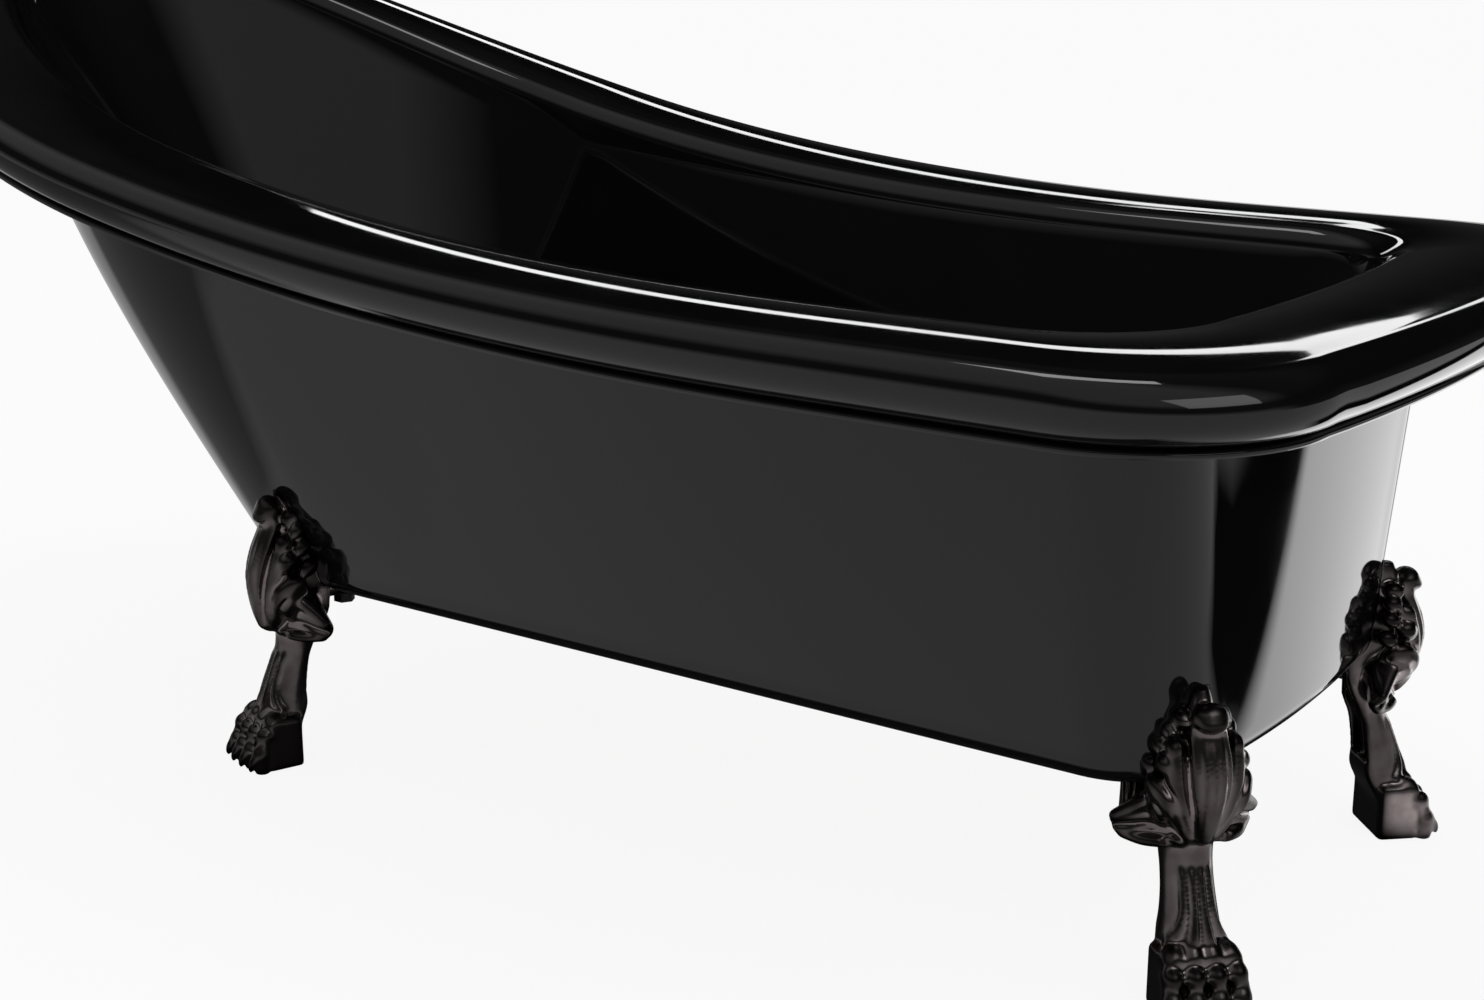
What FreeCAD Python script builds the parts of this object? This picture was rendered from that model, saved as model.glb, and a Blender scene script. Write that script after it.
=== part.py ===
"""Slipper bathtub on four cast lion-paw feet.

Frame: +X along the bath, high head end at -X, low foot end at +X, +Z up.
The origin lies on the floor under the middle of the bath. Lengths are millimetres.
"""
import FreeCAD, Part
import math
import os

Vector = FreeCAD.Vector
Rotation = FreeCAD.Rotation
Placement = FreeCAD.Placement
UP = Vector(0, 0, 1)

doc = FreeCAD.newDocument("SlipperBath")
sheet = doc.addObject("Spreadsheet::Sheet", "Dimensions")

DIMENSIONS = {
    # overall
    "overall_length": 1550,
    "overall_width": 750,
    "rim_high": 733,
    "rim_low": 471,
    # sweep of the rim line, seen from the side
    "rim_head_slope": 0.514,
    "rim_head_pull": 307,
    "rim_foot_pull": 594,
    "rim_level_from": 453,
    # rolled rim
    "rim_width_side": 125,
    "rim_width_foot": 135,
    "rim_roll_radius": 22,
    "rim_inner_radius": 20,
    "rim_crown": 3,
    "rim_lip": 10,
    "rim_head_length": 548,
    "rim_corner": 129,
    "rim_bow": 15,
    # basin
    "basin_wall": 6,
    "basin_corner": 100,
    "floor_top": 206,
    "floor_fillet_height": 56,
    "wall_foot_head_x": -388,
    "wall_foot_end_x": 555,
    "wall_foot_width": 400,
    "wall_foot_head_length": 300,
    "wall_foot_corner": 75,
    "floor_inset": 50,
    # outer skin
    "skin_wall": 5,
    "skin_flange_inset": 14,
    "flange_gap": 1.5,
    "skin_flange_thickness": 4,
    "skin_top_inset": 112,
    "skin_corner": 75,
    "skin_bottom_head_x": -350,
    "skin_bottom_end_x": 659,
    "skin_bottom_width": 416,
    "skin_bottom_head_length": 247,
    "skin_belly": 20,
    "skin_edge_radius": 17,
    "underside": 151,
    "skin_opening_inset": 60,
    # support under the basin
    "seat_gap": 0.3,
    "board_thickness": 16,
    "board_width": 290,
    "board_head_x": -190,
    "board_end_x": 545,
    "board_slot_width": 44,
    "rail_width": 30,
    "rail_height": 22,
    "rail_wall": 2,
    "rail_spread": 95,
    "rail_length": 800,
    "rail_centre_x": 235,
    "plate_thickness": 4,
    "plate_length": 46,
    "plate_edge": 11,
    # feet
    "foot_end_x": 666,
    "foot_end_y": 189,
    "foot_end_turn": 47,
    "head_foot_x": -180.5,
    "head_foot_y": 243.5,
    "head_foot_turn": 20,
    "foot_bolt_back": 80,
    "paw_height": 49,
    "paw_width": 60,
    "paw_heel": -24,
    "paw_front": 8,
    "toe_reach": 24,
    "shelf_thickness": 10,
    "leg_wall": 5,
    "wing_span": 54,
    "wing_back": -48,
    "bolt_radius": 5,
    "bolt_hole_radius": 5.5,
    "bolt_head_flats": 16,
    "bolt_head_height": 6.4,
    "nut_height": 8,
    "washer_radius": 10,
    "washer_thickness": 2,
    # levellers
    "pad_radius": 10.5,
    "pad_thickness": 7,
    "pad_recess": 1,
    "pad_pocket_radius": 12.5,
    "pad_pocket_depth": 22,
    "screw_radius": 4,
    "screw_length": 34,
    "screw_clearance": 0.1,
    "screw_collar_flats": 13,
    "screw_collar_height": 5,
    # waste
    "drain_x": 440,
    "drain_flange_radius": 35,
    "drain_flange_height": 3,
    "drain_mouth_radius": 20,
    "drain_neck_radius": 23,
    "drain_neck_depth": 42,
    "drain_body_radius": 31,
    "drain_body_bottom": 148,
    "drain_tail_radius": 19.05,
    "drain_tail_bore": 16.5,
    "drain_tail_end": 104,
    "drain_port_height": 170,
    "drain_port_reach": 66,
    "gasket_thickness": 3,
    "locknut_height": 9,
    "plug_radius": 27,
    "plug_height": 6,
    "plug_stem_radius": 4,
    "plug_stem_length": 30,
    # overflow
    "overflow_height": 392,
    "overflow_radius": 19,
    "overflow_cover_radius": 34,
    "overflow_cover_depth": 10,
    "overflow_stand_off": 1.4,
    "overflow_body_radius": 25,
    "overflow_body_depth": 24,
    "hose_radius": 12,
    "hose_bore": 9.5,
    "hose_bend": 48,
    "clip_width": 9,
    "clip_thickness": 1,
}

for row, (alias, value) in enumerate(DIMENSIONS.items(), start=1):
    sheet.set("A%d" % row, alias)
    sheet.set("B%d" % row, str(value))
    sheet.setAlias("B%d" % row, alias)
doc.recompute()


def size(alias):
    """The value of one driving dimension, read back from the sheet."""
    return float(sheet.get(alias))


half_length = size("overall_length") / 2
gap = size("seat_gap")

# ---------------------------------------------------------------- outlines

HEAD_STEPS = 10
SIDE_STEPS = 5
CORNER_STEPS = 4
END_STEPS = 2


def outline(head_x, end_x, width, head_length, corner, bow):
    """Closed plan outline: half-elliptic head, straight sides, rounded and slightly bowed end.

    It starts at the tip of the head and runs down the -Y side first.
    """
    half = width / 2
    points = []
    for step in range(HEAD_STEPS):
        angle = math.pi / 2 * step / HEAD_STEPS
        points.append((head_x + head_length * (1 - math.cos(angle)), -half * math.sin(angle)))
    side_from = head_x + head_length
    side_to = end_x - corner - bow
    for step in range(SIDE_STEPS):
        points.append((side_from + (side_to - side_from) * step / SIDE_STEPS, -half))
    for step in range(CORNER_STEPS):
        angle = math.pi / 2 * step / CORNER_STEPS
        points.append((side_to + corner * math.sin(angle), -half + corner * (1 - math.cos(angle))))
    flat = half - corner
    for step in range(END_STEPS + 1):
        share = 1 - step / END_STEPS
        points.append((end_x - bow * share ** 2, -flat * share))
    mirrored = [(x, -y) for x, y in reversed(points[1:-1])]
    return points + mirrored


def mix(first, second, share):
    """Outline or ring between two others, share 0 giving the first."""
    return [
        tuple(a + (b - a) * share for a, b in zip(p, q))
        for p, q in zip(first, second)
    ]


def outward(points):
    """Unit normals of a closed plan outline, pointing away from its inside."""
    normals = []
    for index in range(len(points)):
        before = points[index - 1]
        after = points[(index + 1) % len(points)]
        along = Vector(after[0] - before[0], after[1] - before[1], 0).normalize()
        normals.append((along.y, -along.x))
    return normals


def grown(points, distance):
    """Outline moved outwards by a distance, inwards where it is negative."""
    return [
        (x + nx * distance, y + ny * distance)
        for (x, y), (nx, ny) in zip(points, outward(points))
    ]


def at_height(points, height):
    """Level ring from a plan outline."""
    return [(x, y, height) for x, y in points]


rim_outline = outline(-half_length, half_length, size("overall_width"),
                      size("rim_head_length"), size("rim_corner"), size("rim_bow"))
rim_width = size("rim_width_side")
inner_outline = outline(-half_length + rim_width, half_length - size("rim_width_foot"),
                        size("overall_width") - 2 * rim_width,
                        size("rim_head_length") - rim_width, size("basin_corner"),
                        size("rim_bow") / 2)


def bezier(share):
    """Point of the rim line seen from the side: falls from the head, then runs level."""
    poles = [
        (-half_length, size("rim_high")),
        (-half_length + size("rim_head_pull"),
         size("rim_high") - size("rim_head_pull") * size("rim_head_slope")),
        (size("rim_level_from") - size("rim_foot_pull"), size("rim_low")),
        (size("rim_level_from"), size("rim_low")),
    ]
    weights = [(1 - share) ** 3, 3 * (1 - share) ** 2 * share, 3 * (1 - share) * share ** 2, share ** 3]
    return tuple(sum(w * pole[axis] for w, pole in zip(weights, poles)) for axis in (0, 1))


def rim_line(x):
    """Height of the top of the rim at a place along the bath."""
    if x >= size("rim_level_from"):
        return size("rim_low")
    low, high = 0.0, 1.0
    for halving in range(30):
        middle = (low + high) / 2
        if bezier(middle)[0] < x:
            low = middle
        else:
            high = middle
    return bezier(low)[1]


rim_heights = [rim_line(x) for x, y in rim_outline]


def rim_ring(inset, drop):
    """Ring that follows the rim line, inset from its outer edge and below its top."""
    plan = mix(rim_outline, inner_outline, inset / rim_width)
    ring = []
    for (x, y), outer_height in zip(plan, rim_heights):
        height = (outer_height + rim_line(max(x, -half_length))) / 2
        ring.append((x, y, height - drop))
    return ring


def closed_wire(ring):
    """Closed wire through a ring of points."""
    points = [Vector(*point) for point in ring]
    return Part.makePolygon(points + points[:1])


def flat_face(*corners):
    """Plane face between corners."""
    return Part.Face(Part.makePolygon(list(corners) + [corners[0]]))


def faceted(rings, closed=False):
    """Solid of plane facets through rings of equal counts; each quad splits on its short diagonal.

    Its ends are capped, or joined to each other where it is closed like a ring.
    """
    loops = [[Vector(*point) for point in ring] for ring in rings]
    pairs = list(zip(loops, loops[1:]))
    faces = []
    if closed:
        pairs.append((loops[-1], loops[0]))
    else:
        faces = [flat_face(*loops[0]), flat_face(*loops[-1])]
    for low, high in pairs:
        for index in range(len(low)):
            after = (index + 1) % len(low)
            a, b, c, d = low[index], low[after], high[after], high[index]
            if (a - c).Length <= (b - d).Length:
                faces += [flat_face(a, b, c), flat_face(a, c, d)]
            else:
                faces += [flat_face(a, b, d), flat_face(b, c, d)]
    shell = Part.makeShell(faces)
    shell.sewShape()
    solid = Part.Solid(shell.Shells[0])
    if solid.Volume < 0:
        solid.reverse()
    return solid


def computed(name, shape):
    """Document object for a shape that is worked out in code."""
    feature = doc.addObject("Part::Feature", name)
    feature.Shape = shape
    feature.Placement = Placement()
    return feature


# ---------------------------------------------------------------- basin

floor_top = size("floor_top")
wall = size("basin_wall")
wall_foot = outline(size("wall_foot_head_x"), size("wall_foot_end_x"), size("wall_foot_width"),
                    size("wall_foot_head_length"), size("wall_foot_corner"), size("rim_bow") / 2)
floor_inset = size("floor_inset")
floor_edge = outline(size("wall_foot_head_x") + 1.6 * floor_inset,
                     size("wall_foot_end_x") - floor_inset,
                     size("wall_foot_width") - 2 * floor_inset,
                     size("wall_foot_head_length") - floor_inset,
                     size("wall_foot_corner") - 0.3 * floor_inset, size("rim_bow") / 2)
fillet_height = size("floor_fillet_height")


def floor_fillet(degrees, thickness):
    """Ring of the rounded turn between the floor and the wall of the basin."""
    angle = math.radians(degrees)
    plan = mix(floor_edge, wall_foot, math.sin(angle))
    plan = grown(plan, thickness * math.sin(angle))
    drop = thickness * math.cos(angle)
    return at_height(plan, floor_top + fillet_height * (1 - math.cos(angle)) - drop)


roll = size("rim_roll_radius")
inner_roll = size("rim_inner_radius")


def rim_section(offset):
    """Insets and drops across the rim, inner edge first, set in by a wall thickness."""
    section = []
    for degrees in (0, 30, 60, 85):
        angle = math.radians(degrees)
        radius = inner_roll - offset
        section.append((rim_width - inner_roll + radius * math.cos(angle),
                        size("rim_crown") + inner_roll - radius * math.sin(angle)))
    section.append(((rim_width - inner_roll + roll) / 2, offset))
    for degrees in (95, 120, 150, 180, 210, 240, 270):
        angle = math.radians(degrees)
        radius = roll - offset
        section.append((roll + radius * math.cos(angle),
                        size("rim_crown") + roll - radius * math.sin(angle)))
    return section


def basin_rings():
    """All rings of the basin, from its floor inside, over the rim, to its floor outside."""
    rings = [floor_fillet(degrees, 0) for degrees in (0, 30, 60, 90)]
    top = rim_section(0)
    under = rim_section(wall)
    rings += [rim_ring(inset, drop) for inset, drop in top]
    lip_inset = roll + size("rim_lip")
    rings.append(rim_ring(lip_inset, top[-1][1]))
    rings.append(rim_ring(lip_inset, under[-1][1]))
    rings += [rim_ring(inset, drop) for inset, drop in (under[-2], under[-4], under[-6])]
    rings += [rim_ring(inset, drop) for inset, drop in (under[3], under[1], under[0])]
    rings += [floor_fillet(degrees, wall) for degrees in (90, 45, 0)]
    return rings


def overflow_frame():
    """Placement on the basin's foot-end wall: local +Z runs out through the wall."""
    wall_base = Vector(size("wall_foot_end_x"), 0, floor_top + fillet_height)
    wall_top = Vector(half_length - size("rim_width_foot"), 0,
                      size("rim_low") - size("rim_crown") - inner_roll)
    share = (size("overflow_height") - wall_base.z) / (wall_top.z - wall_base.z)
    centre = wall_base + (wall_top - wall_base) * share
    lean = math.degrees(math.atan2(wall_top.x - wall_base.x, wall_top.z - wall_base.z))
    return Placement(centre, Rotation(Vector(0, 1, 0), 90 + lean))


def cylinder(name, radius, height, place):
    """Part cylinder whose radius and height are expressions on the sheet."""
    feature = doc.addObject("Part::Cylinder", name)
    feature.setExpression("Radius", radius)
    feature.setExpression("Height", height)
    feature.Placement = place
    return feature


def rod(name, radius, height, place, sides=12):
    """Many-sided rod for a small or hidden round piece; its corners lie on the radius."""
    feature = doc.addObject("Part::Prism", name)
    feature.Polygon = sides
    feature.setExpression("Circumradius", radius)
    feature.setExpression("Height", height)
    feature.Placement = place
    return feature


def bore(name, radius, height, place, sides=12):
    """Many-sided hole for such a rod; its flats lie on the radius."""
    corners = "(%s) * %.4f" % (radius, 1 / math.cos(math.pi / sides))
    return rod(name, corners, height, place, sides)


def box(name, length, width, height, place):
    """Part box whose sides are expressions on the sheet."""
    feature = doc.addObject("Part::Box", name)
    feature.setExpression("Length", length)
    feature.setExpression("Width", width)
    feature.setExpression("Height", height)
    feature.Placement = place
    return feature


def cut(name, base, tool):
    """Base less tool."""
    feature = doc.addObject("Part::Cut", name)
    feature.Base = base
    feature.Tool = tool
    return feature


def fused(name, pieces):
    """One solid out of pieces that overlap."""
    feature = doc.addObject("Part::MultiFuse", name)
    feature.Shapes = pieces
    return feature


def grouped(name, pieces):
    """Separate solids kept as one sub-part."""
    feature = doc.addObject("Part::Compound", name)
    feature.Links = pieces
    return feature


def at(x, y, z, turn=0.0):
    """Placement at a point, turned about the vertical."""
    return Placement(Vector(x, y, z), Rotation(UP, turn))


def cell(alias):
    """Expression that reads one driving dimension."""
    return "Dimensions." + alias


def build_basin():
    """Acrylic inner shell with its rolled rim, waste hole and overflow hole."""
    shell = computed("BasinShell", faceted(basin_rings()))
    waste_hole = bore("WasteHole", cell("drain_neck_radius") + " + 0.5", cell("basin_wall") + " * 3",
                      at(size("drain_x"), 0, floor_top - 2 * wall), 24)
    frame = overflow_frame()
    start = Placement(Vector(0, 0, -wall), Rotation())
    overflow_hole = bore("OverflowHole", cell("overflow_radius"), cell("basin_wall") + " * 4",
                         frame.multiply(start), 24)
    holes = fused("BasinHoles", [waste_hole, overflow_hole])
    return cut("basin", shell, holes)


# ---------------------------------------------------------------- outer skin

underside = size("underside")
skin_wall = size("skin_wall")
edge_radius = size("skin_edge_radius")
skin_base = outline(size("skin_bottom_head_x"), size("skin_bottom_end_x"), size("skin_bottom_width"),
                    size("skin_bottom_head_length"), size("skin_corner"), size("rim_bow") / 2)
skin_top_inset = size("skin_top_inset")
skin_top_plan = outline(-half_length + skin_top_inset, half_length - skin_top_inset,
                        size("overall_width") - 2 * skin_top_inset,
                        size("rim_head_length") - skin_top_inset, size("skin_corner"),
                        size("rim_bow") / 2)
flange_drop = size("rim_crown") + 2 * roll + size("flange_gap")
flange_under = flange_drop + size("skin_flange_thickness")


def skin_ring(share, inset, drop=0.0):
    """Ring of the skin's wall: share 0 under the flange, 1 above the rounded bottom edge."""
    top = []
    for (x, y), (rim_x, rim_y, height) in zip(skin_top_plan, rim_ring(skin_top_inset, flange_under + 7 - drop)):
        top.append((x, y, height))
    base = at_height(skin_base, underside + edge_radius)
    ring = mix(top, base, share)
    normals = outward([(x, y) for x, y, z in ring])
    belly = size("skin_belly") * 4 * share * (1 - share)
    bowed = []
    for (x, y, z), (nx, ny) in zip(ring, normals):
        towards_head = min(max(-x / (0.6 * half_length), 0), 1)
        move = belly * towards_head - inset
        bowed.append((x + nx * move, y + ny * move, z))
    return bowed


def bottom_edge(degrees, radius):
    """Ring of the skin's rounded bottom edge."""
    angle = math.radians(degrees)
    plan = grown(skin_base, radius * math.cos(angle) - edge_radius)
    return at_height(plan, underside + edge_radius - radius * math.sin(angle))


WALL_SHARES = (0.0, 0.3, 0.65, 1.0)


def skin_rings():
    """Rings of the skin, from its floor inside, over the flange, to its floor outside."""
    inner_edge = edge_radius - skin_wall
    rings = [bottom_edge(degrees, inner_edge) for degrees in (90, 45)]
    rings += [skin_ring(share, skin_wall) for share in reversed(WALL_SHARES)]
    rings.append(rim_ring(skin_top_inset - 2, flange_drop))
    rings.append(rim_ring(size("skin_flange_inset"), flange_drop))
    rings.append(rim_ring(size("skin_flange_inset"), flange_under))
    rings.append(rim_ring(skin_top_inset - 10, flange_under))
    rings += [skin_ring(share, 0) for share in WALL_SHARES]
    rings += [bottom_edge(degrees, edge_radius) for degrees in (30, 60, 90)]
    return rings


def build_skin(bolt_places):
    """Outer shell: flange under the rim, sloping walls and an inward foot flange below."""
    shell = computed("SkinShell", faceted(skin_rings()))
    opening_plan = grown(skin_base, -size("skin_opening_inset"))
    opening_wire = closed_wire(at_height(opening_plan, underside - skin_wall))
    opening = computed("SkinOpening", Part.Face(opening_wire).extrude(UP * 3 * skin_wall))
    holes = [opening]
    for index, (x, y) in enumerate(bolt_places):
        holes.append(bore("SkinBoltHole%d" % index, cell("bolt_hole_radius"),
                          cell("skin_wall") + " * 3", at(x, y, underside - skin_wall)))
    return cut("outer_skin", shell, fused("SkinHoles", holes))


def skin_envelope(clearance):
    """Solid of the space that the skin takes up, grown a little, for fitting the feet."""
    rings = [at_height(grown(skin_base, clearance - edge_radius), underside - clearance)]
    for degrees in (60, 30):
        angle = math.radians(degrees)
        plan = grown(skin_base, (edge_radius + clearance) * math.cos(angle) - edge_radius)
        height = underside + edge_radius - (edge_radius + clearance) * math.sin(angle)
        rings.append(at_height(plan, height))
    rings += [skin_ring(share, -clearance) for share in (1.0, 0.65, 0.3)]
    lid = [(x, y, size("rim_high")) for x, y, z in rings[-1]]
    rings.append(lid)
    return faceted(rings)


# ---------------------------------------------------------------- feet

# Side profile of the casting, bottom to top: height, front face, half width, back edge.
LEG_PROFILE = (
    (40, 2, 25, -25),
    (50, -3, 20, -32),
    (62, -9, 17.5, -38),
    (78, -14, 17, -42),
    (94, -17, 17.5, -46),
    (106, -16, 20, -51),
    (117, -11, 24.5, -55),
    (127, -3, 29, -57),
    (137, 5, 32, -58),
    (149, 9, 33.5, -57),
    (164, 11, 32.5, -53),
    (180, 10, 29, -49),
    (196, 7, 23.5, -45),
    (210, 4, 18, -42),
    (222, 0, 13, -40),
    (231, -5, 6, -38),
)
LEAF_FROM = 117
LEAF_FULL = 150
LOBES = 5
LEAF_DEPTH = 0.16
LEG_STEPS = 10


def leaf_depth(height):
    """How deep the flutes between the leaf's lobes are cut at a height."""
    share = (height - LEAF_FROM) / (LEAF_FULL - LEAF_FROM)
    return LEAF_DEPTH * min(max(share, 0), 1)


def tendon_depth(height):
    """How deep the grooves between the tendons above the paw are cut at a height."""
    return 0.1 * min(max((90 - height) / 40, 0), 1)


def leg_section(height, front, half_width, back):
    """Closed section of the casting: a fluted round front and straight sides to the back."""
    points = []
    nose = front - min(half_width * 1.1, front - back - 4)
    for step in range(LEG_STEPS + 1):
        angle = math.pi * (step / LEG_STEPS - 0.5)
        ripple = abs(math.cos(LOBES * angle))
        depth = leaf_depth(height) + tendon_depth(height)
        reach = 1 - depth * (1 - ripple) * math.cos(angle) ** 0.5
        points.append((nose + (front - nose) * math.cos(angle) * reach,
                       half_width * math.sin(angle) * reach, height))
    points.append((back, half_width * 0.85, height))
    points.append((back, -half_width * 0.85, height))
    return points


def leg_blank():
    """The leg and leaf as one solid, before it is hollowed."""
    return faceted([leg_section(*row) for row in LEG_PROFILE])


def leg_hollow():
    """The open channel at the back of the cast leg."""
    leg_wall = size("leg_wall")
    sections = []
    for height, front, half_width, back in LEG_PROFILE[2:9]:
        inside = half_width - leg_wall
        deepest = front - leg_wall - 2
        half = ((back - 10, 0.8 * inside), (deepest - inside * 0.6, inside), (deepest, 0.4 * inside))
        section = [(x, -y, height) for x, y in half] + [(x, y, height) for x, y in reversed(half)]
        sections.append(section)
    return faceted(sections)


def wing(side):
    """Blunt wing that stands out sideways under the edge of the bath."""
    top = underside - gap
    span = size("wing_span")
    back = size("wing_back")
    # distance from the middle, then (forward, height) corners from the front's foot upwards
    stations = (
        (12, ((-6, 110), (4, 136), (-8, top), (-54, top), (-54, 116))),
        (0.62 * span, ((-20, 122), (-16, 138), (-26, top), (-58, top), (-58, 125))),
        (span, ((back + 3, 127), (back + 3, 138), (back - 2, 145), (back - 9, 145), (back - 9, 129))),
    )
    rings = []
    for sideways, corners in stations:
        rings.append([(forward, sideways * side, height) for forward, height in corners])
    return faceted(rings)


def knob(x, y, z, radius):
    """Small rounded boss with eight flats, where a leaf lobe curls over."""
    rings = []
    for degrees in (-70, -30, 15, 60):
        angle = math.radians(degrees)
        ring_radius = radius * math.cos(angle)
        turns = [2 * math.pi * step / 8 for step in range(8)]
        rings.append([(x + radius * math.sin(angle), y + ring_radius * math.cos(turn),
                       z + ring_radius * math.sin(turn)) for turn in turns])
    return faceted(rings)


def toe(sideways, turn):
    """One toe: a knuckle, a dip, a rounded pad and a blunt claw at the floor."""
    reach = size("toe_reach")
    front = size("paw_front")
    # distance forward, height of the middle, half width, half height
    stations = ((-14, 29, 6.6, 14), (-1, 34, 7.8, 14), (8, 28, 7.0, 13), (13, 17, 7.6, 14),
                (18, 12, 6.0, 11), (reach, 4.6, 2.4, 3.8))
    rings = []
    for forward, middle, half_width, half_height in stations:
        corners = []
        for step in range(8):
            angle = math.pi / 8 + math.pi / 4 * step
            height = middle + half_height * math.sin(angle) * 1.08
            corners.append((forward, half_width * math.cos(angle) * 1.08, height))
        lift = max(0.0, 0.4 - min(corner[2] for corner in corners))
        rings.append([(x, y, z + lift) for x, y, z in corners])
    shape = faceted(rings)
    shape.rotate(Vector(front - 16, 0, 0), UP, turn)
    shape.translate(Vector(0, sideways, 0))
    return shape


def paw_block():
    """Flat-sided block of the paw, chamfered on top, that stands on the floor."""
    half = size("paw_width") / 2
    heel = size("paw_heel")
    front = size("paw_front")
    top = size("paw_height")
    # height, half width, heel, front
    levels = ((0, half, heel, front), (0.62 * top, half, heel, front),
              (0.86 * top, half - 3, heel + 1, front - 3), (top, half - 9, heel + 3, front - 8))
    rings = []
    for height, half_width, back, ahead in levels:
        bevel = 5
        right = [(back, -half_width + bevel, height), (back + bevel, -half_width, height),
                 (ahead - bevel, -half_width, height), (ahead, -half_width + bevel, height)]
        rings.append(right + [(x, -y, z) for x, y, z in reversed(right)])
    return faceted(rings)


def mounting_shelf():
    """Flat ledge behind the leg that bolts up under the bath."""
    top = underside - gap
    thickness = size("shelf_thickness")
    back = -size("foot_bolt_back") - 17
    corners = [Vector(x, y, top - thickness) for x, y in (
        (back, -12), (back + 10, -20), (-46, -30), (-22, -30), (-22, 30), (-46, 30),
        (back + 10, 20), (back, 12))]
    face = Part.Face(Part.makePolygon(corners + corners[:1]))
    return face.extrude(UP * thickness)


def shelf_rib():
    """Upright rib that carries the shelf down into the back of the leg."""
    half = 2.5
    outline_points = [Vector(x, -half, z) for x, z in (
        (-64, 142), (1, 142), (1, 136), (-6, 126), (-14, 116), (-19.5, 104), (-19.5, 92),
        (-17, 78), (-12.5, 62), (-12.5, 46), (-31, 44), (-44, 66), (-57, 112))]
    face = Part.Face(Part.makePolygon(outline_points + outline_points[:1]))
    return face.extrude(Vector(0, 2 * half, 0))


def straight_hole(x, z, radius, depth, sides):
    """Upright many-sided hole in the casting's middle plane; its flats lie on the radius."""
    corner = radius / math.cos(math.pi / sides)
    turns = [2 * math.pi * step / sides for step in range(sides)]
    wire = closed_wire([(x + corner * math.cos(turn), corner * math.sin(turn), z) for turn in turns])
    return Part.Face(wire).extrude(UP * depth)


def paw_casting():
    """The whole lion-paw casting in its own frame: +X is its front, the floor is z = 0."""
    leg = leg_blank().cut(leg_hollow())
    pieces = [paw_block(), wing(1), wing(-1), mounting_shelf(), shelf_rib(), knob(-1, 0, 221, 10.5)]
    pieces += [knob(-3, 25 * side, 189, 8.5) for side in (1, -1)]
    toe_pitch = (size("paw_width") - 2) / 4
    for index in range(4):
        sideways = (index - 1.5) * toe_pitch
        pieces.append(toe(sideways, (index - 1.5) * 4))
    casting = leg.multiFuse(pieces).removeSplitter()
    pocket = straight_hole(pad_x, -1, size("pad_pocket_radius"), size("pad_pocket_depth"), 16)
    thread = straight_hole(pad_x, -1, size("screw_radius") + size("screw_clearance"),
                           size("screw_length") + 12, 12)
    bolt = straight_hole(-size("foot_bolt_back"), underside - 30, size("bolt_hole_radius"), 40, 12)
    return casting.cut(Part.makeCompound([pocket, thread, bolt]))


pad_x = (size("paw_heel") + size("paw_front")) / 2

FOOT_NAMES = ("head_right", "head_left", "drain_right", "drain_left")


def foot_places():
    """Placement of each foot; left and right are seen from the head end."""
    places = {}
    for name in FOOT_NAMES:
        side = -1 if name.endswith("right") else 1
        if name.startswith("head"):
            turn = side * (90 + size("head_foot_turn"))
            places[name] = at(size("head_foot_x"), side * size("head_foot_y"), 0, turn)
        else:
            turn = side * (90 - size("foot_end_turn"))
            places[name] = at(size("foot_end_x"), side * size("foot_end_y"), 0, turn)
    return places


def build_feet(places):
    """Four castings, each cut to lie against the skin with a hair's gap."""
    envelope = computed("SkinEnvelope", skin_envelope(gap))
    blank = paw_casting()
    for name, place in places.items():
        raw = doc.addObject("Part::Feature", "Casting_" + name)
        raw.Shape = blank
        raw.Placement = place
        cut("foot_" + name, raw, envelope)


def build_levellers(places):
    """A threaded stud with a swivelling pad in each paw."""
    recess = size("pad_recess")
    for name, place in places.items():
        base = place.multiply(at(pad_x, 0, recess))
        disc = rod("PadDisc_" + name, cell("pad_radius"), cell("pad_thickness"), base, 16)
        socket = bore("PadSocket_" + name, cell("screw_radius") + " + 0.05", cell("pad_thickness"),
                      base.multiply(at(0, 0, 3)))
        cut("leveller_pad_" + name, disc, socket)
        stud = rod("Stud_" + name, cell("screw_radius"), cell("screw_length"),
                   base.multiply(at(0, 0, 3.05)))
        collar = doc.addObject("Part::Prism", "Collar_" + name)
        collar.Polygon = 6
        collar.setExpression("Circumradius", cell("screw_collar_flats") + " / sqrt(3)")
        collar.setExpression("Height", cell("screw_collar_height"))
        collar.Placement = base.multiply(at(0, 0, size("pad_thickness") + 0.1))
        fused("leveller_screw_" + name, [stud, collar])


def bolt_points(places):
    """Where each foot's bolt stands."""
    return [place.multVec(Vector(-size("foot_bolt_back"), 0, 0)) for place in places.values()]


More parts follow.
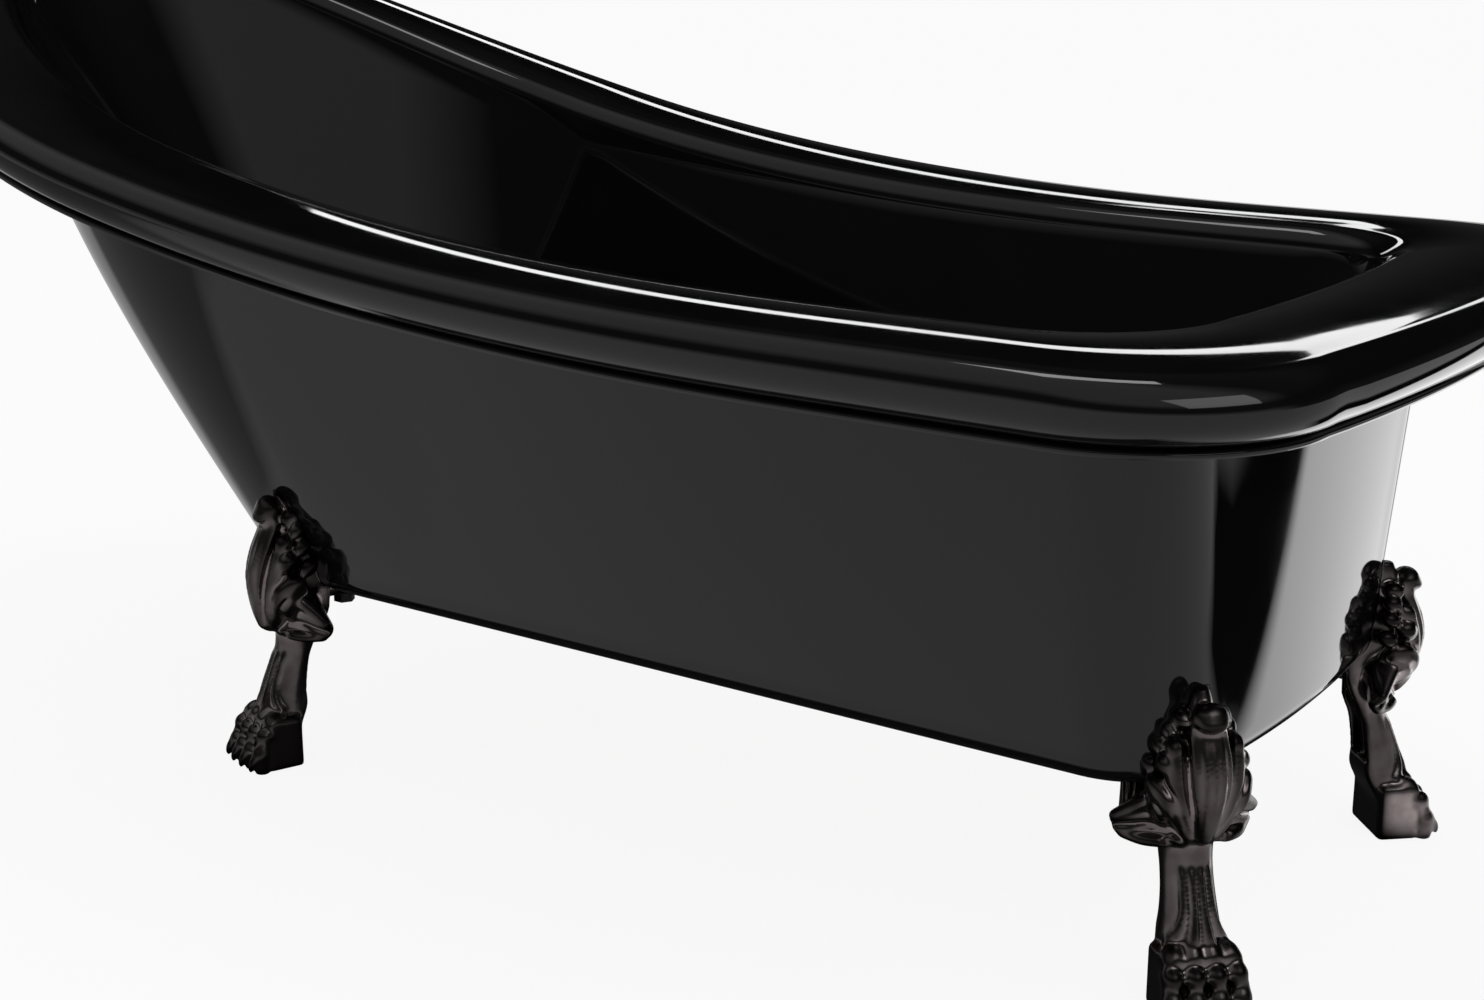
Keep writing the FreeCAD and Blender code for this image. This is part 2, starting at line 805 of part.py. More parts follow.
def build_fasteners(places):
    """Bolts with washers below each foot's shelf and nuts above the backing plates."""
    head_top = underside - gap - size("shelf_thickness") - size("washer_thickness")
    plate_top = underside + skin_wall + gap + size("plate_thickness")
    bolts, washers, nuts = [], [], []
    for index, point in enumerate(bolt_points(places)):
        head = doc.addObject("Part::Prism", "BoltHead%d" % index)
        head.Polygon = 6
        head.setExpression("Circumradius", cell("bolt_head_flats") + " / sqrt(3)")
        head.setExpression("Height", cell("bolt_head_height"))
        head.Placement = at(point.x, point.y, head_top - size("bolt_head_height"))
        shank = rod("BoltShank%d" % index, cell("bolt_radius"),
                    "Dimensions.shelf_thickness + Dimensions.skin_wall + Dimensions.plate_thickness"
                    " + Dimensions.nut_height + 6", at(point.x, point.y, head_top))
        bolts.append(fused("Bolt%d" % index, [head, shank]))
        disc = rod("WasherDisc%d" % index, cell("washer_radius"), cell("washer_thickness") + " - 0.1",
                   at(point.x, point.y, head_top + 0.05), 16)
        hole = bore("WasherHole%d" % index, cell("bolt_hole_radius"), cell("washer_thickness"),
                    at(point.x, point.y, head_top))
        washers.append(cut("Washer%d" % index, disc, hole))
        hexagon = doc.addObject("Part::Prism", "NutHexagon%d" % index)
        hexagon.Polygon = 6
        hexagon.setExpression("Circumradius", cell("bolt_head_flats") + " / sqrt(3)")
        hexagon.setExpression("Height", cell("nut_height"))
        hexagon.Placement = at(point.x, point.y, plate_top + 0.05)
        thread = bore("NutBore%d" % index, cell("bolt_radius") + " + 0.05",
                      cell("nut_height") + " + 1", at(point.x, point.y, plate_top))
        nuts.append(cut("Nut%d" % index, hexagon, thread))
    grouped("foot_bolts", bolts)
    grouped("foot_washers", washers)
    grouped("foot_nuts", nuts)


# ---------------------------------------------------------------- supports under the basin

def build_supports(places):
    """Board bonded under the basin floor, two box rails and a backing plate over each foot."""
    plate_bottom = underside + skin_wall + gap
    rail_bottom = plate_bottom + size("plate_thickness") + gap
    board_bottom = rail_bottom + size("rail_height") + gap
    board = box("BoardBlank", "Dimensions.board_end_x - Dimensions.board_head_x",
                cell("board_width"), cell("board_thickness"),
                at(size("board_head_x"), -size("board_width") / 2, board_bottom))
    round_hole = bore("BoardHole", cell("drain_body_radius") + " + 12", cell("board_thickness") + " * 3",
                      at(size("drain_x"), 0, board_bottom - size("board_thickness")), 24)
    slot = box("BoardSlot", "Dimensions.board_end_x - Dimensions.drain_x + 10",
               cell("board_slot_width"), cell("board_thickness") + " * 3",
               at(size("drain_x"), -size("board_slot_width") / 2, board_bottom - size("board_thickness")))
    cut("floor_board", board, fused("BoardOpenings", [round_hole, slot]))
    for side, label in ((-1, "right"), (1, "left")):
        start_x = size("rail_centre_x") - size("rail_length") / 2
        centre_y = side * size("rail_spread")
        outside = box("RailOutside_" + label, cell("rail_length"), cell("rail_width"),
                      cell("rail_height"),
                      at(start_x, centre_y - size("rail_width") / 2, rail_bottom))
        inside = box("RailInside_" + label, cell("rail_length") + " + 2",
                     "Dimensions.rail_width - 2 * Dimensions.rail_wall",
                     "Dimensions.rail_height - 2 * Dimensions.rail_wall",
                     at(start_x - 1, centre_y - size("rail_width") / 2 + size("rail_wall"),
                        rail_bottom + size("rail_wall")))
        cut("bearer_rail_" + label, outside, inside)
    plates = []
    for index, point in enumerate(bolt_points(places)):
        side = 1 if point.y > 0 else -1
        inner_y = size("rail_spread") - size("rail_width") / 2
        outer_y = abs(point.y) + size("plate_edge")
        lower_y = inner_y if side > 0 else -outer_y
        blank = box("PlateBlank%d" % index, cell("plate_length"), "%.3f" % (outer_y - inner_y),
                    cell("plate_thickness"),
                    at(point.x - size("plate_length") / 2, lower_y, plate_bottom))
        hole = bore("PlateHole%d" % index, cell("bolt_hole_radius"), cell("plate_thickness") + " * 3",
                    at(point.x, point.y, plate_bottom - size("plate_thickness")))
        plates.append(cut("Plate%d" % index, blank, hole))
    grouped("backing_plates", plates)


# ---------------------------------------------------------------- waste and plug

TURNED_SIDES = 32

def turned(name, profile, place, hollow=False):
    """Many-sided turned piece through (radius, height) steps; a hollow one closes on itself."""
    turns = [2 * math.pi * step / TURNED_SIDES for step in range(TURNED_SIDES)]
    rings = []
    for radius, height in profile:
        rings.append([(radius * math.cos(turn), radius * math.sin(turn), height) for turn in turns])
    feature = computed(name, faceted(rings, hollow))
    feature.Placement = place
    return feature


def ring(name, outer, inner, height, place, sides):
    """Flat many-sided ring."""
    outside = rod(name + "_outside", outer, height, place, sides)
    start = place.multiply(at(0, 0, -1))
    inside = bore(name + "_inside", inner, height + " + 2", start, 24)
    return cut(name, outside, inside)


def build_waste():
    """Waste fitting in the floor: flange, gasket, locknut, body with its tail, and the plug."""
    place = at(size("drain_x"), 0, floor_top)
    mouth = size("drain_mouth_radius")
    neck = size("drain_neck_radius")
    rim = size("drain_flange_radius")
    depth = size("drain_neck_depth")
    proud = size("drain_flange_height")
    turned("drain_flange", [(mouth, -depth), (neck, -depth), (neck, gap), (rim, gap), (rim - 1, 0.6 * proud),
                            (rim - 4, proud), (mouth, proud)], place, True)
    gasket_low = floor_top - wall - gap - size("gasket_thickness")
    ring("drain_gasket", cell("drain_body_radius"), cell("drain_neck_radius") + " + 0.3",
         cell("gasket_thickness"), at(size("drain_x"), 0, gasket_low), 24)
    nut_low = gasket_low - gap - size("locknut_height")
    ring("drain_locknut", cell("drain_body_radius"), cell("drain_neck_radius") + " + 0.1",
         cell("locknut_height"), at(size("drain_x"), 0, nut_low), 8)
    build_waste_body(nut_low)
    build_plug(place)


def build_waste_body(nut_low):
    """Cup below the floor with a straight tail down and a side port for the overflow hose."""
    cup_top = nut_low - gap
    x = size("drain_x")
    cup = rod("CupOutside", cell("drain_body_radius"), "%.3f - Dimensions.drain_body_bottom" % cup_top,
              at(x, 0, size("drain_body_bottom")), 24)
    tail = cylinder("TailOutside", cell("drain_tail_radius"),
                    "Dimensions.drain_body_bottom - Dimensions.drain_tail_end + 2",
                    at(x, 0, size("drain_tail_end")))
    along = Rotation(Vector(0, 1, 0), 90)
    port_at = Placement(Vector(x, 0, size("drain_port_height")), along)
    port = rod("PortOutside", cell("hose_bore") + " * 0.95", cell("drain_port_reach"), port_at)
    cup_bore = bore("CupInside", cell("drain_neck_radius") + " + 0.1", cell("drain_body_bottom"),
                    at(x, 0, size("drain_body_bottom") + 4), 24)
    tail_bore = bore("TailInside", cell("drain_tail_bore"), cell("drain_body_bottom"),
                     at(x, 0, size("drain_tail_end") - 5), 24)
    port_bore = rod("PortInside", cell("hose_bore") + " - 2", cell("drain_port_reach") + " + 5", port_at)
    outside = fused("WasteOutside", [cup, tail, port])
    cut("drain_body", outside, fused("WasteInside", [cup_bore, tail_bore, port_bore]))


def build_plug(place):
    """Push plug: domed cap with its seal ring on a stem that slides in a fixed guide."""
    rest = at(0, 0, size("drain_flange_height") + gap)
    cap_place = place.multiply(rest)
    stem = size("plug_stem_radius")
    radius = size("plug_radius")
    height = size("plug_height")
    turned("plug_cap", [(stem, -size("plug_stem_length")), (stem, 0), (radius, 0), (radius - 1, 0.5 * height),
                        (radius - 4, 0.8 * height), (0.5 * radius, height)], cap_place)
    ring("plug_seal", cell("drain_mouth_radius") + " - 1", cell("plug_stem_radius") + " + 0.2", "2",
         cap_place.multiply(at(0, 0, -2.3)), 24)
    guide = rod("GuideHub", cell("plug_stem_radius") + " + 4", "22",
                place.multiply(at(0, 0, -size("drain_neck_depth") + 8)))
    bars = []
    for index, turn in enumerate((0, 60, 120)):
        bar = box("GuideBar%d" % index, "Dimensions.drain_mouth_radius * 2 - 0.6", "3", "6",
                  place.multiply(at(0, 0, -size("drain_neck_depth") + 8, turn)).multiply(
                      at(-size("drain_mouth_radius") + 0.3, -1.5, 0)))
        bars.append(bar)
    guide_bore = bore("GuideBore", cell("plug_stem_radius") + " + 0.08", "60",
                      place.multiply(at(0, 0, -size("drain_neck_depth") - 5)), 24)
    cut("plug_guide", fused("GuideSolid", [guide] + bars), guide_bore)


# ---------------------------------------------------------------- overflow

def build_overflow():
    """Overflow cover, gasket, elbow and hose behind the foot-end wall."""
    frame = overflow_frame()
    inner = size("overflow_radius") - 6
    outer = size("overflow_cover_radius")
    depth = size("overflow_cover_depth")
    back = -size("overflow_stand_off")
    turned("overflow_cover", [(inner, back), (outer, back), (outer - 1, -0.5 * depth), (outer - 5, -depth),
                              (inner + 3, -0.9 * depth), (inner, -0.5 * depth)], frame, True)
    low = wall + gap
    ring("overflow_gasket", cell("overflow_body_radius"), cell("overflow_radius") + " - 1",
         cell("gasket_thickness"), frame.multiply(at(0, 0, low)), 24)
    start = low + size("gasket_thickness") + gap
    drum = rod("ElbowDrum", cell("overflow_body_radius"), cell("overflow_body_depth"),
               frame.multiply(at(0, 0, start)), 24)
    drum_bore = rod("ElbowBore", cell("overflow_radius") + " - 1", "Dimensions.overflow_body_depth - 3",
                    frame.multiply(at(0, 0, start - 1)), 24)
    spigot_x = hose_top().x
    spigot = rod("ElbowSpigot", cell("hose_bore") + " * 0.95", "50",
                 at(spigot_x, 0, size("overflow_height") - 58))
    spigot_bore = rod("SpigotBore", cell("hose_bore") + " - 2", "50",
                      at(spigot_x, 0, size("overflow_height") - 60))
    cut("overflow_elbow", fused("ElbowOutside", [drum, spigot]),
        fused("ElbowInside", [drum_bore, spigot_bore]))
    build_hose()


def hose_top():
    """Upper end of the hose, just below the elbow's drum."""
    frame = overflow_frame()
    middle = frame.multVec(Vector(0, 0, size("basin_wall") + 0.6 + size("gasket_thickness")
                                  + size("overflow_body_depth") / 2))
    return Vector(middle.x, 0, size("overflow_height") - 37)


HOSE_BEND_STEPS = 6


def build_hose():
    """Hose down the gap between the walls and back to the waste's side port, with two clips."""
    top = hose_top()
    bend = size("hose_bend")
    level = size("drain_port_height")
    port_end = size("drain_x") + size("drain_port_reach") - 22
    corner = Vector(top.x, 0, level)
    end = Vector(port_end, 0, level)
    turns = [math.pi / 2 * step / HOSE_BEND_STEPS for step in range(HOSE_BEND_STEPS + 1)]
    centre = corner + Vector(-bend, 0, bend)
    stations = [(top, 0.0)]
    stations += [(centre + Vector(math.cos(turn), 0, -math.sin(turn)) * bend, turn) for turn in turns]
    stations.append((end, math.pi / 2))
    skins = []
    for radius in (size("hose_radius"), size("hose_bore")):
        circles = []
        for point, turn in stations:
            circle = []
            for step in range(12):
                angle = 2 * math.pi * step / 12
                ahead = math.cos(angle) * radius
                circle.append((point.x + ahead * math.cos(turn), radius * math.sin(angle),
                               point.z - ahead * math.sin(turn)))
            circles.append(circle)
        skins.append(faceted(circles))
    computed("overflow_hose", skins[0].cut(skins[1]))
    clips = []
    for index, place in enumerate((
            Placement(top - UP * (size("clip_width") + 3), Rotation()),
            Placement(end + Vector(3, 0, 0), Rotation(Vector(0, 1, 0), 90)))):
        clips.append(ring("Clip%d" % index, "Dimensions.hose_radius + 0.1 + Dimensions.clip_thickness",
                          cell("hose_radius") + " + 0.1", cell("clip_width"), place, 24))
    grouped("hose_clips", clips)


# ---------------------------------------------------------------- assembly

places = foot_places()
build_basin()
build_skin([(point.x, point.y) for point in bolt_points(places)])
build_supports(places)
build_feet(places)
build_levellers(places)
build_fasteners(places)
build_waste()
build_overflow()
doc.recompute()

NODES = ["basin", "outer_skin", "floor_board", "bearer_rail_left", "bearer_rail_right",
         "backing_plates", "foot_bolts", "foot_washers", "foot_nuts",
         "drain_flange", "drain_gasket", "drain_locknut", "drain_body",
         "plug_cap", "plug_seal", "plug_guide",
         "overflow_cover", "overflow_gasket", "overflow_elbow", "overflow_hose", "hose_clips"]
for foot in FOOT_NAMES:
    NODES += ["foot_" + foot, "leveller_pad_" + foot, "leveller_screw_" + foot]

for item in doc.Objects:
    if "Invalid" in item.State or "Error" in item.State:
        raise RuntimeError("%s failed: %s" % (item.Label, item.State))
for name in NODES:
    shape = doc.getObject(name).Shape
    if shape.isNull() or not shape.isValid() or not shape.Solids:
        raise RuntimeError("%s has no valid solid" % name)

os.makedirs("parts", exist_ok=True)
for name in NODES:
    doc.getObject(name).Shape.exportStep("parts/%s.step" % name)
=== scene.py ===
"""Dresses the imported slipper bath: acrylic shells, cast lion-paw feet, waste, overflow and a studio."""
import functools
import math

import bmesh
import bpy
import numpy as np
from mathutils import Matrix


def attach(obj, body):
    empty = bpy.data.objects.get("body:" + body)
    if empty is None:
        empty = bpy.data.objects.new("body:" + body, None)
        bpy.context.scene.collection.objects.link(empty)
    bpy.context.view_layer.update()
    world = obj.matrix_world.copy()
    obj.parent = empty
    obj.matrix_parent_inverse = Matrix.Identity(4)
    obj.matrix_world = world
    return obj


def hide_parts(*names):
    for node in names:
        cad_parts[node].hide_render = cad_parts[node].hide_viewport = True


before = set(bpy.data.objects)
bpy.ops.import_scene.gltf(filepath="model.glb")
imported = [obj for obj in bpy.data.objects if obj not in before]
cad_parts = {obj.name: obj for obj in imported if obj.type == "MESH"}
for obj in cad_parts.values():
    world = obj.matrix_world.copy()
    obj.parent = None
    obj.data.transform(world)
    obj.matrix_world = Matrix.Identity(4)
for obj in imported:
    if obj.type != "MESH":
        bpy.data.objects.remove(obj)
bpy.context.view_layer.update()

import openvdb
from bpy.props import FloatProperty, FloatVectorProperty, PointerProperty
from mathutils import Matrix, Vector
from mathutils.bvhtree import BVHTree

bl_info = {
    "name": "Slipper bath",
    "version": (1, 0, 0),
    "blender": (4, 5, 0),
    "location": "3D View > Sidebar > Slipper bath",
    "description": "Builds the visible surfaces of a freestanding slipper bath on its packed frame",
    "category": "Object",
}

MM = 0.001
BODY = "tub"


# ---- sizes and finishes

def length(name, description, default):
    """Length property in metres."""
    return FloatProperty(name=name, description=description, default=default, unit="LENGTH", precision=4)


class BathShape(bpy.types.PropertyGroup):
    """Driving sizes of the two acrylic shells."""
    overall_length: length("Length", "Overall length of the bath", 1.550)
    overall_width: length("Width", "Overall width across the rim", 0.750)
    rim_high: length("Head height", "Height of the rim line at the head", 0.733)
    rim_low: length("Foot-end height", "Height of the rim line at the foot end", 0.471)
    rim_width: length("Rim width", "Width of the rim along the sides", 0.125)
    rim_width_foot: length("Rim width, foot end", "Width of the rim at the foot end", 0.135)
    roll_radius: length("Roll radius", "Radius of the rolled outer edge", 0.022)
    inner_radius: length("Inner edge radius", "Radius where the rim turns down into the basin", 0.020)
    floor_top: length("Floor height", "Height of the basin's floor", 0.206)
    underside: length("Underside height", "Height of the outer shell's underside", 0.151)
    belly: length("Belly", "How far the head end of the outer shell bulges", 0.020)
    edge_radius: length("Bottom edge radius", "Radius of the outer shell's bottom edge", 0.017)


class FootShape(bpy.types.PropertyGroup):
    """Driving sizes of the cast feet."""
    voxel: length("Casting detail", "Size of the finest detail in the casting", 0.0010)
    proud: length("Fit gap", "Gap between a foot and the outer shell", 0.0004)


def colour(name, description, default):
    """Colour property that holds a linear colour."""
    return FloatVectorProperty(name=name, description=description, default=default, size=4,
                               subtype="COLOR", min=0.0, max=1.0)


def linear(code):
    """Linear colour of an sRGB hex value such as 3a3632."""
    channels = [int(code[i:i + 2], 16) / 255 for i in (0, 2, 4)]
    return tuple(c / 12.92 if c <= 0.04045 else ((c + 0.055) / 1.055) ** 2.4 for c in channels) + (1.0,)


class BathFinish(bpy.types.PropertyGroup):
    """Colours of the bath's finishes."""
    acrylic: colour("Acrylic", "Colour of the gloss acrylic", linear("080809"))
    casting: colour("Feet", "Colour of the dark plated casting", linear("8d8585"))
    casting_recess: colour("Feet, recesses", "Colour of the casting in its recesses", linear("2a2627"))
    floor: colour("Studio floor", "Colour of the studio floor", linear("fafafa"))


# ---- meshes

def new_object(name, mesh, smooth=True):
    """Object in the scene, shaded smooth unless told otherwise."""
    mesh.polygons.foreach_set("use_smooth", [smooth] * len(mesh.polygons))
    piece = bpy.data.objects.new(name, mesh)
    bpy.context.scene.collection.objects.link(piece)
    return piece


def mesh_of(name, bm):
    """Mesh made from a bmesh, with its normals facing outwards."""
    bmesh.ops.recalc_face_normals(bm, faces=bm.faces)
    mesh = bpy.data.meshes.new(name)
    bm.to_mesh(mesh)
    bm.free()
    return mesh


def skin_rings(bm, rings, close_rings=False, capped=False):
    """Quads between successive rings of equal counts."""
    loops = [[bm.verts.new(point) for point in ring] for ring in rings]
    pairs = list(zip(loops, loops[1:])) + ([(loops[-1], loops[0])] if close_rings else [])
    for low, high in pairs:
        for i in range(len(low)):
            j = (i + 1) % len(low)
            bm.faces.new((low[i], low[j], high[j], high[i]))
    if capped:
        bm.faces.new(loops[0])
        bm.faces.new(list(reversed(loops[-1])))


def catmull(values, ts):
    """Smooth interpolation of rows of values at fractional row numbers."""
    rows = np.asarray(values, float)
    last = len(rows) - 1
    out = []
    for t in ts:
        i = min(int(t), last - 1)
        f = t - i
        p0, p1, p2, p3 = rows[max(i - 1, 0)], rows[i], rows[i + 1], rows[min(i + 2, last)]
        out.append(0.5 * ((2 * p1) + (p2 - p0) * f + (2 * p0 - 5 * p1 + 4 * p2 - p3) * f * f
                          + (3 * p1 - p0 - 3 * p2 + p3) * f ** 3))
    return np.array(out)


# ---- shell outlines

HEAD_STEPS, SIDE_STEPS, CORNER_STEPS, END_STEPS = 56, 36, 18, 10
WASTE_X, WASTE_RADIUS = 0.440, 0.0235
HEAD_LENGTH = 0.548
# how far the rim's flat rises between its edges, the bond under the rim, the outer shell's flange below it
CROWN, BOND, FLANGE = 0.003, 0.0015, 0.004
SKIN_INSET = 0.112
# the rim line leaves the head along this slope and runs level from here; how far each end steers its curve
HEAD_SLOPE, HEAD_REACH = 0.514, 0.307
LEVEL_FROM, LEVEL_REACH = 0.453, 0.594
FLOOR_TURN_HEIGHT = 0.056


def outline(head_x, end_x, width, head_length, corner, bow):
    """Closed plan outline: half-elliptic head, straight sides, rounded and bowed foot end."""
    half = width / 2
    points = []
    for step in range(HEAD_STEPS):
        angle = math.pi / 2 * step / HEAD_STEPS
        points.append((head_x + head_length * (1 - math.cos(angle)), -half * math.sin(angle)))
    side_from, side_to = head_x + head_length, end_x - corner - bow
    for step in range(SIDE_STEPS):
        points.append((side_from + (side_to - side_from) * step / SIDE_STEPS, -half))
    for step in range(CORNER_STEPS):
        angle = math.pi / 2 * step / CORNER_STEPS
        points.append((side_to + corner * math.sin(angle), -half + corner * (1 - math.cos(angle))))
    flat = half - corner
    for step in range(END_STEPS + 1):
        share = 1 - step / END_STEPS
        points.append((end_x - bow * share ** 2, -flat * share))
    points += [(x, -y) for x, y in reversed(points[1:-1])]
    return np.array(points)


def outward(points):
    """Unit normals of a closed plan outline."""
    along = np.roll(points, -1, axis=0)[:, :2] - np.roll(points, 1, axis=0)[:, :2]
    along /= np.linalg.norm(along, axis=1)[:, None]
    return np.column_stack([along[:, 1], -along[:, 0]])


def grown(points, distance):
    """Outline moved outwards by a distance."""
    return points + outward(points) * distance


def level(points, height):
    """Ring at one height."""
    return np.column_stack([points, np.full(len(points), height)])


class Shells:
    """Rings of both shells, worked out from the sizes in the panel."""

    def __init__(self, shape):
        self.shape = shape
        half = shape.overall_length / 2
        width = shape.rim_width
        self.half = half
        self.under_rim = CROWN + 2 * shape.roll_radius + BOND
        # head end, foot end, width, length of the rounded head, corner radius, bow of the foot end
        self.rim = outline(-half, half, shape.overall_width, HEAD_LENGTH, 0.129, 0.015)
        self.inner = outline(-half + width, half - shape.rim_width_foot, shape.overall_width - 2 * width,
                             HEAD_LENGTH - width, 0.100, 0.0075)
        self.rim_height = self.line(self.rim[:, 0])
        self.wall_foot = outline(-0.388, 0.555, 0.400, 0.300, 0.075, 0.0075)
        self.floor_edge = outline(-0.308, 0.505, 0.300, 0.250, 0.060, 0.0075)
        self.base = outline(-0.350, 0.659, 0.416, 0.247, 0.075, 0.0075)
        self.skin_top = outline(-half + SKIN_INSET, half - SKIN_INSET, shape.overall_width - 2 * SKIN_INSET,
                                HEAD_LENGTH - SKIN_INSET, 0.075, 0.0075)

    def line(self, xs):
        """Height of the rim line along the bath: it falls from the head, then runs level."""
        shape = self.shape
        share = np.linspace(0, 1, 2001)
        poles = ((-self.half, shape.rim_high),
                 (-self.half + HEAD_REACH, shape.rim_high - HEAD_REACH * HEAD_SLOPE),
                 (LEVEL_FROM - LEVEL_REACH, shape.rim_low), (LEVEL_FROM, shape.rim_low))
        weights = ((1 - share) ** 3, 3 * (1 - share) ** 2 * share, 3 * (1 - share) * share ** 2, share ** 3)
        curve_x = sum(w * pole[0] for w, pole in zip(weights, poles))
        curve_z = sum(w * pole[1] for w, pole in zip(weights, poles))
        return np.interp(xs, curve_x, curve_z)

    def rim_ring(self, inset, drop):
        """Ring inset from the rim's outer edge and below its top line."""
        plan = self.rim + (self.inner - self.rim) * (inset / self.shape.rim_width)
        height = (self.rim_height + self.line(np.maximum(plan[:, 0], -self.half))) / 2 - drop
        return np.column_stack([plan, height])

    def rolled(self, inset, drop, radius, turns):
        """Rings round a roll whose centre lies inset from the rim's edge and below its top line."""
        return [self.rim_ring(inset + radius * math.cos(turn), drop - radius * math.sin(turn))
                for turn in map(math.radians, turns)]

    def floor_turn(self, degrees, thickness):
        """Ring of the rounded turn from the basin's floor to its wall."""
        angle = math.radians(degrees)
        plan = self.floor_edge + (self.wall_foot - self.floor_edge) * math.sin(angle)
        plan = grown(plan, thickness * math.sin(angle))
        rise = FLOOR_TURN_HEIGHT * (1 - math.cos(angle)) - thickness * math.cos(angle)
        return level(plan, self.shape.floor_top + rise)

    def basin(self):
        """Basin rings from the middle of its floor, over the rim, to the floor's outside."""
        shape = self.shape
        wall, roll, edge = 0.006, shape.roll_radius, shape.inner_radius
        width = shape.rim_width
        centre = np.array([WASTE_X, 0.0])
        spoke = self.floor_edge - centre
        turn = np.arctan2(spoke[:, 1], spoke[:, 0])
        mouth = centre + WASTE_RADIUS * np.column_stack([np.cos(turn), np.sin(turn)])
        rings = []
        for share in (0, 0.05, 0.15, 0.3, 0.5, 0.7, 0.85, 0.95):
            rings.append(level(mouth + (self.floor_edge - mouth) * share, shape.floor_top))
        rings += [self.floor_turn(degrees, 0) for degrees in range(0, 90, 6)]
        foot = self.floor_turn(90, 0)
        top = self.rim_ring(width, CROWN + edge)
        rings += [top + (foot - top) * share for share in np.linspace(1, 0, 13)]
        rings += self.rolled(width - edge, CROWN + edge, edge, range(6, 86, 6))
        start, end = width - edge, roll
        for share in np.linspace(0.02, 0.98, 15):
            lift = CROWN * (1 - (2 * share - 1) ** 2)
            rings.append(self.rim_ring(start + (end - start) * share, CROWN - lift))
        rings += self.rolled(roll, CROWN + roll, roll, range(92, 271, 5))
        low = CROWN + 2 * roll
        # the roll's lip turns in and a little upwards
        rings += [self.rim_ring(inset, low - up) for inset, up in (
            (0.0255, 0), (0.0290, 0), (0.0315, 0), (0.0320, 0.0005), (0.0320, 0.0060), (0.0300, 0.0062))]
        rings += self.rolled(roll, CROWN + roll, roll - wall, range(260, 94, -15))
        for share in (0.25, 0.5, 0.75):
            rings.append(self.rim_ring(end + (start - end) * share, wall))
        rings += self.rolled(width - edge, CROWN + edge, edge - wall, (80, 60, 40, 20, 0))
        rings += [self.floor_turn(degrees, wall) for degrees in range(90, -1, -10)]
        rings.append(level(mouth, shape.floor_top - wall))
        return rings

    def skin_ring(self, share, inset):
        """Ring of the outer shell's wall, from under its flange (0) to its bottom edge (1)."""
        shape = self.shape
        drop = self.under_rim + FLANGE + 0.007
        top = np.column_stack([self.skin_top, self.rim_ring(SKIN_INSET, drop)[:, 2]])
        foot = level(self.base, shape.underside + shape.edge_radius)
        ring = top + (foot - top) * share
        towards_head = np.clip(-ring[:, 0] / (0.6 * self.half), 0, 1)
        move = shape.belly * 4 * share * (1 - share) * towards_head - inset
        ring[:, :2] += outward(ring) * move[:, None]
        return ring

    def bottom_edge(self, degrees, radius):
        """Ring of the outer shell's rounded bottom edge."""
        angle = math.radians(degrees)
        edge = self.shape.edge_radius
        plan = grown(self.base, radius * math.cos(angle) - edge)
        return level(plan, self.shape.underside + edge - radius * math.sin(angle))

    def skin(self):
        """Closed rings of the outer shell: opening below, inside, over the flange, outside."""
        shape = self.shape
        wall, edge = 0.005, shape.edge_radius
        hole = grown(self.base, -0.060)
        rings = [level(hole, shape.underside), level(hole, shape.underside + wall)]
        rings += [self.bottom_edge(degrees, edge - wall) for degrees in range(90, 0, -15)]
        rings += [self.skin_ring(share, wall) for share in np.linspace(1, 0, 15)]
        rings += [self.rim_ring(inset, self.under_rim + down) for inset, down in (
            (0.110, 0), (0.060, 0), (0.014, 0), (0.0138, FLANGE / 2), (0.014, FLANGE), (0.060, FLANGE),
            (0.098, FLANGE), (0.104, 0.0048), (0.108, 0.0068), (0.1105, 0.0090))]
        rings += [self.skin_ring(share, 0) for share in np.linspace(0, 1, 33)]
        rings += [self.bottom_edge(degrees, edge) for degrees in range(6, 91, 6)]
        return rings

    def envelope(self, gap):
        """Closed rings around the lower outer shell, a little larger than it."""
        edge = self.shape.edge_radius
        rings = [level(grown(self.base, -0.150), self.shape.underside - gap)]
        for degrees in range(90, 0, -10):
            angle = math.radians(degrees)
            plan = grown(self.base, (edge + gap) * math.cos(angle) - edge)
            rings.append(level(plan, self.shape.underside + edge - (edge + gap) * math.sin(angle)))
        rings += [self.skin_ring(share, -gap) for share in np.linspace(1, 0.2, 17)]
        return rings


# ---- materials

def add_node(tree, kind, settings=None, links=None):
    """Adds a shader node, sets its properties and inputs, and links other nodes or sockets to its inputs."""
    node = tree.nodes.new("ShaderNode" + kind)
    for key, value in (settings or {}).items():
        if isinstance(key, int) or key in node.inputs:
            node.inputs[key].default_value = value
        else:
            setattr(node, key, value)
    for key, source in (links or {}).items():
        if isinstance(source, bpy.types.Node):
            source = next(socket for socket in source.outputs if socket.enabled)
        tree.links.new(source, node.inputs[key])
    return node


def new_material(name):
    """Material with an empty node tree."""
    material = bpy.data.materials.new(name)
    material.use_nodes = True
    material.node_tree.nodes.clear()
    return material, material.node_tree


def scale_for(size_mm):
    """Scale of a pattern whose marks measure size_mm across in the piece's own space."""
    return 1.0 / (size_mm * MM)


def shade(value, factor):
    """Linear colour made lighter or darker."""
    return tuple(min(1.0, factor * channel) for channel in value[:3]) + (1.0,)


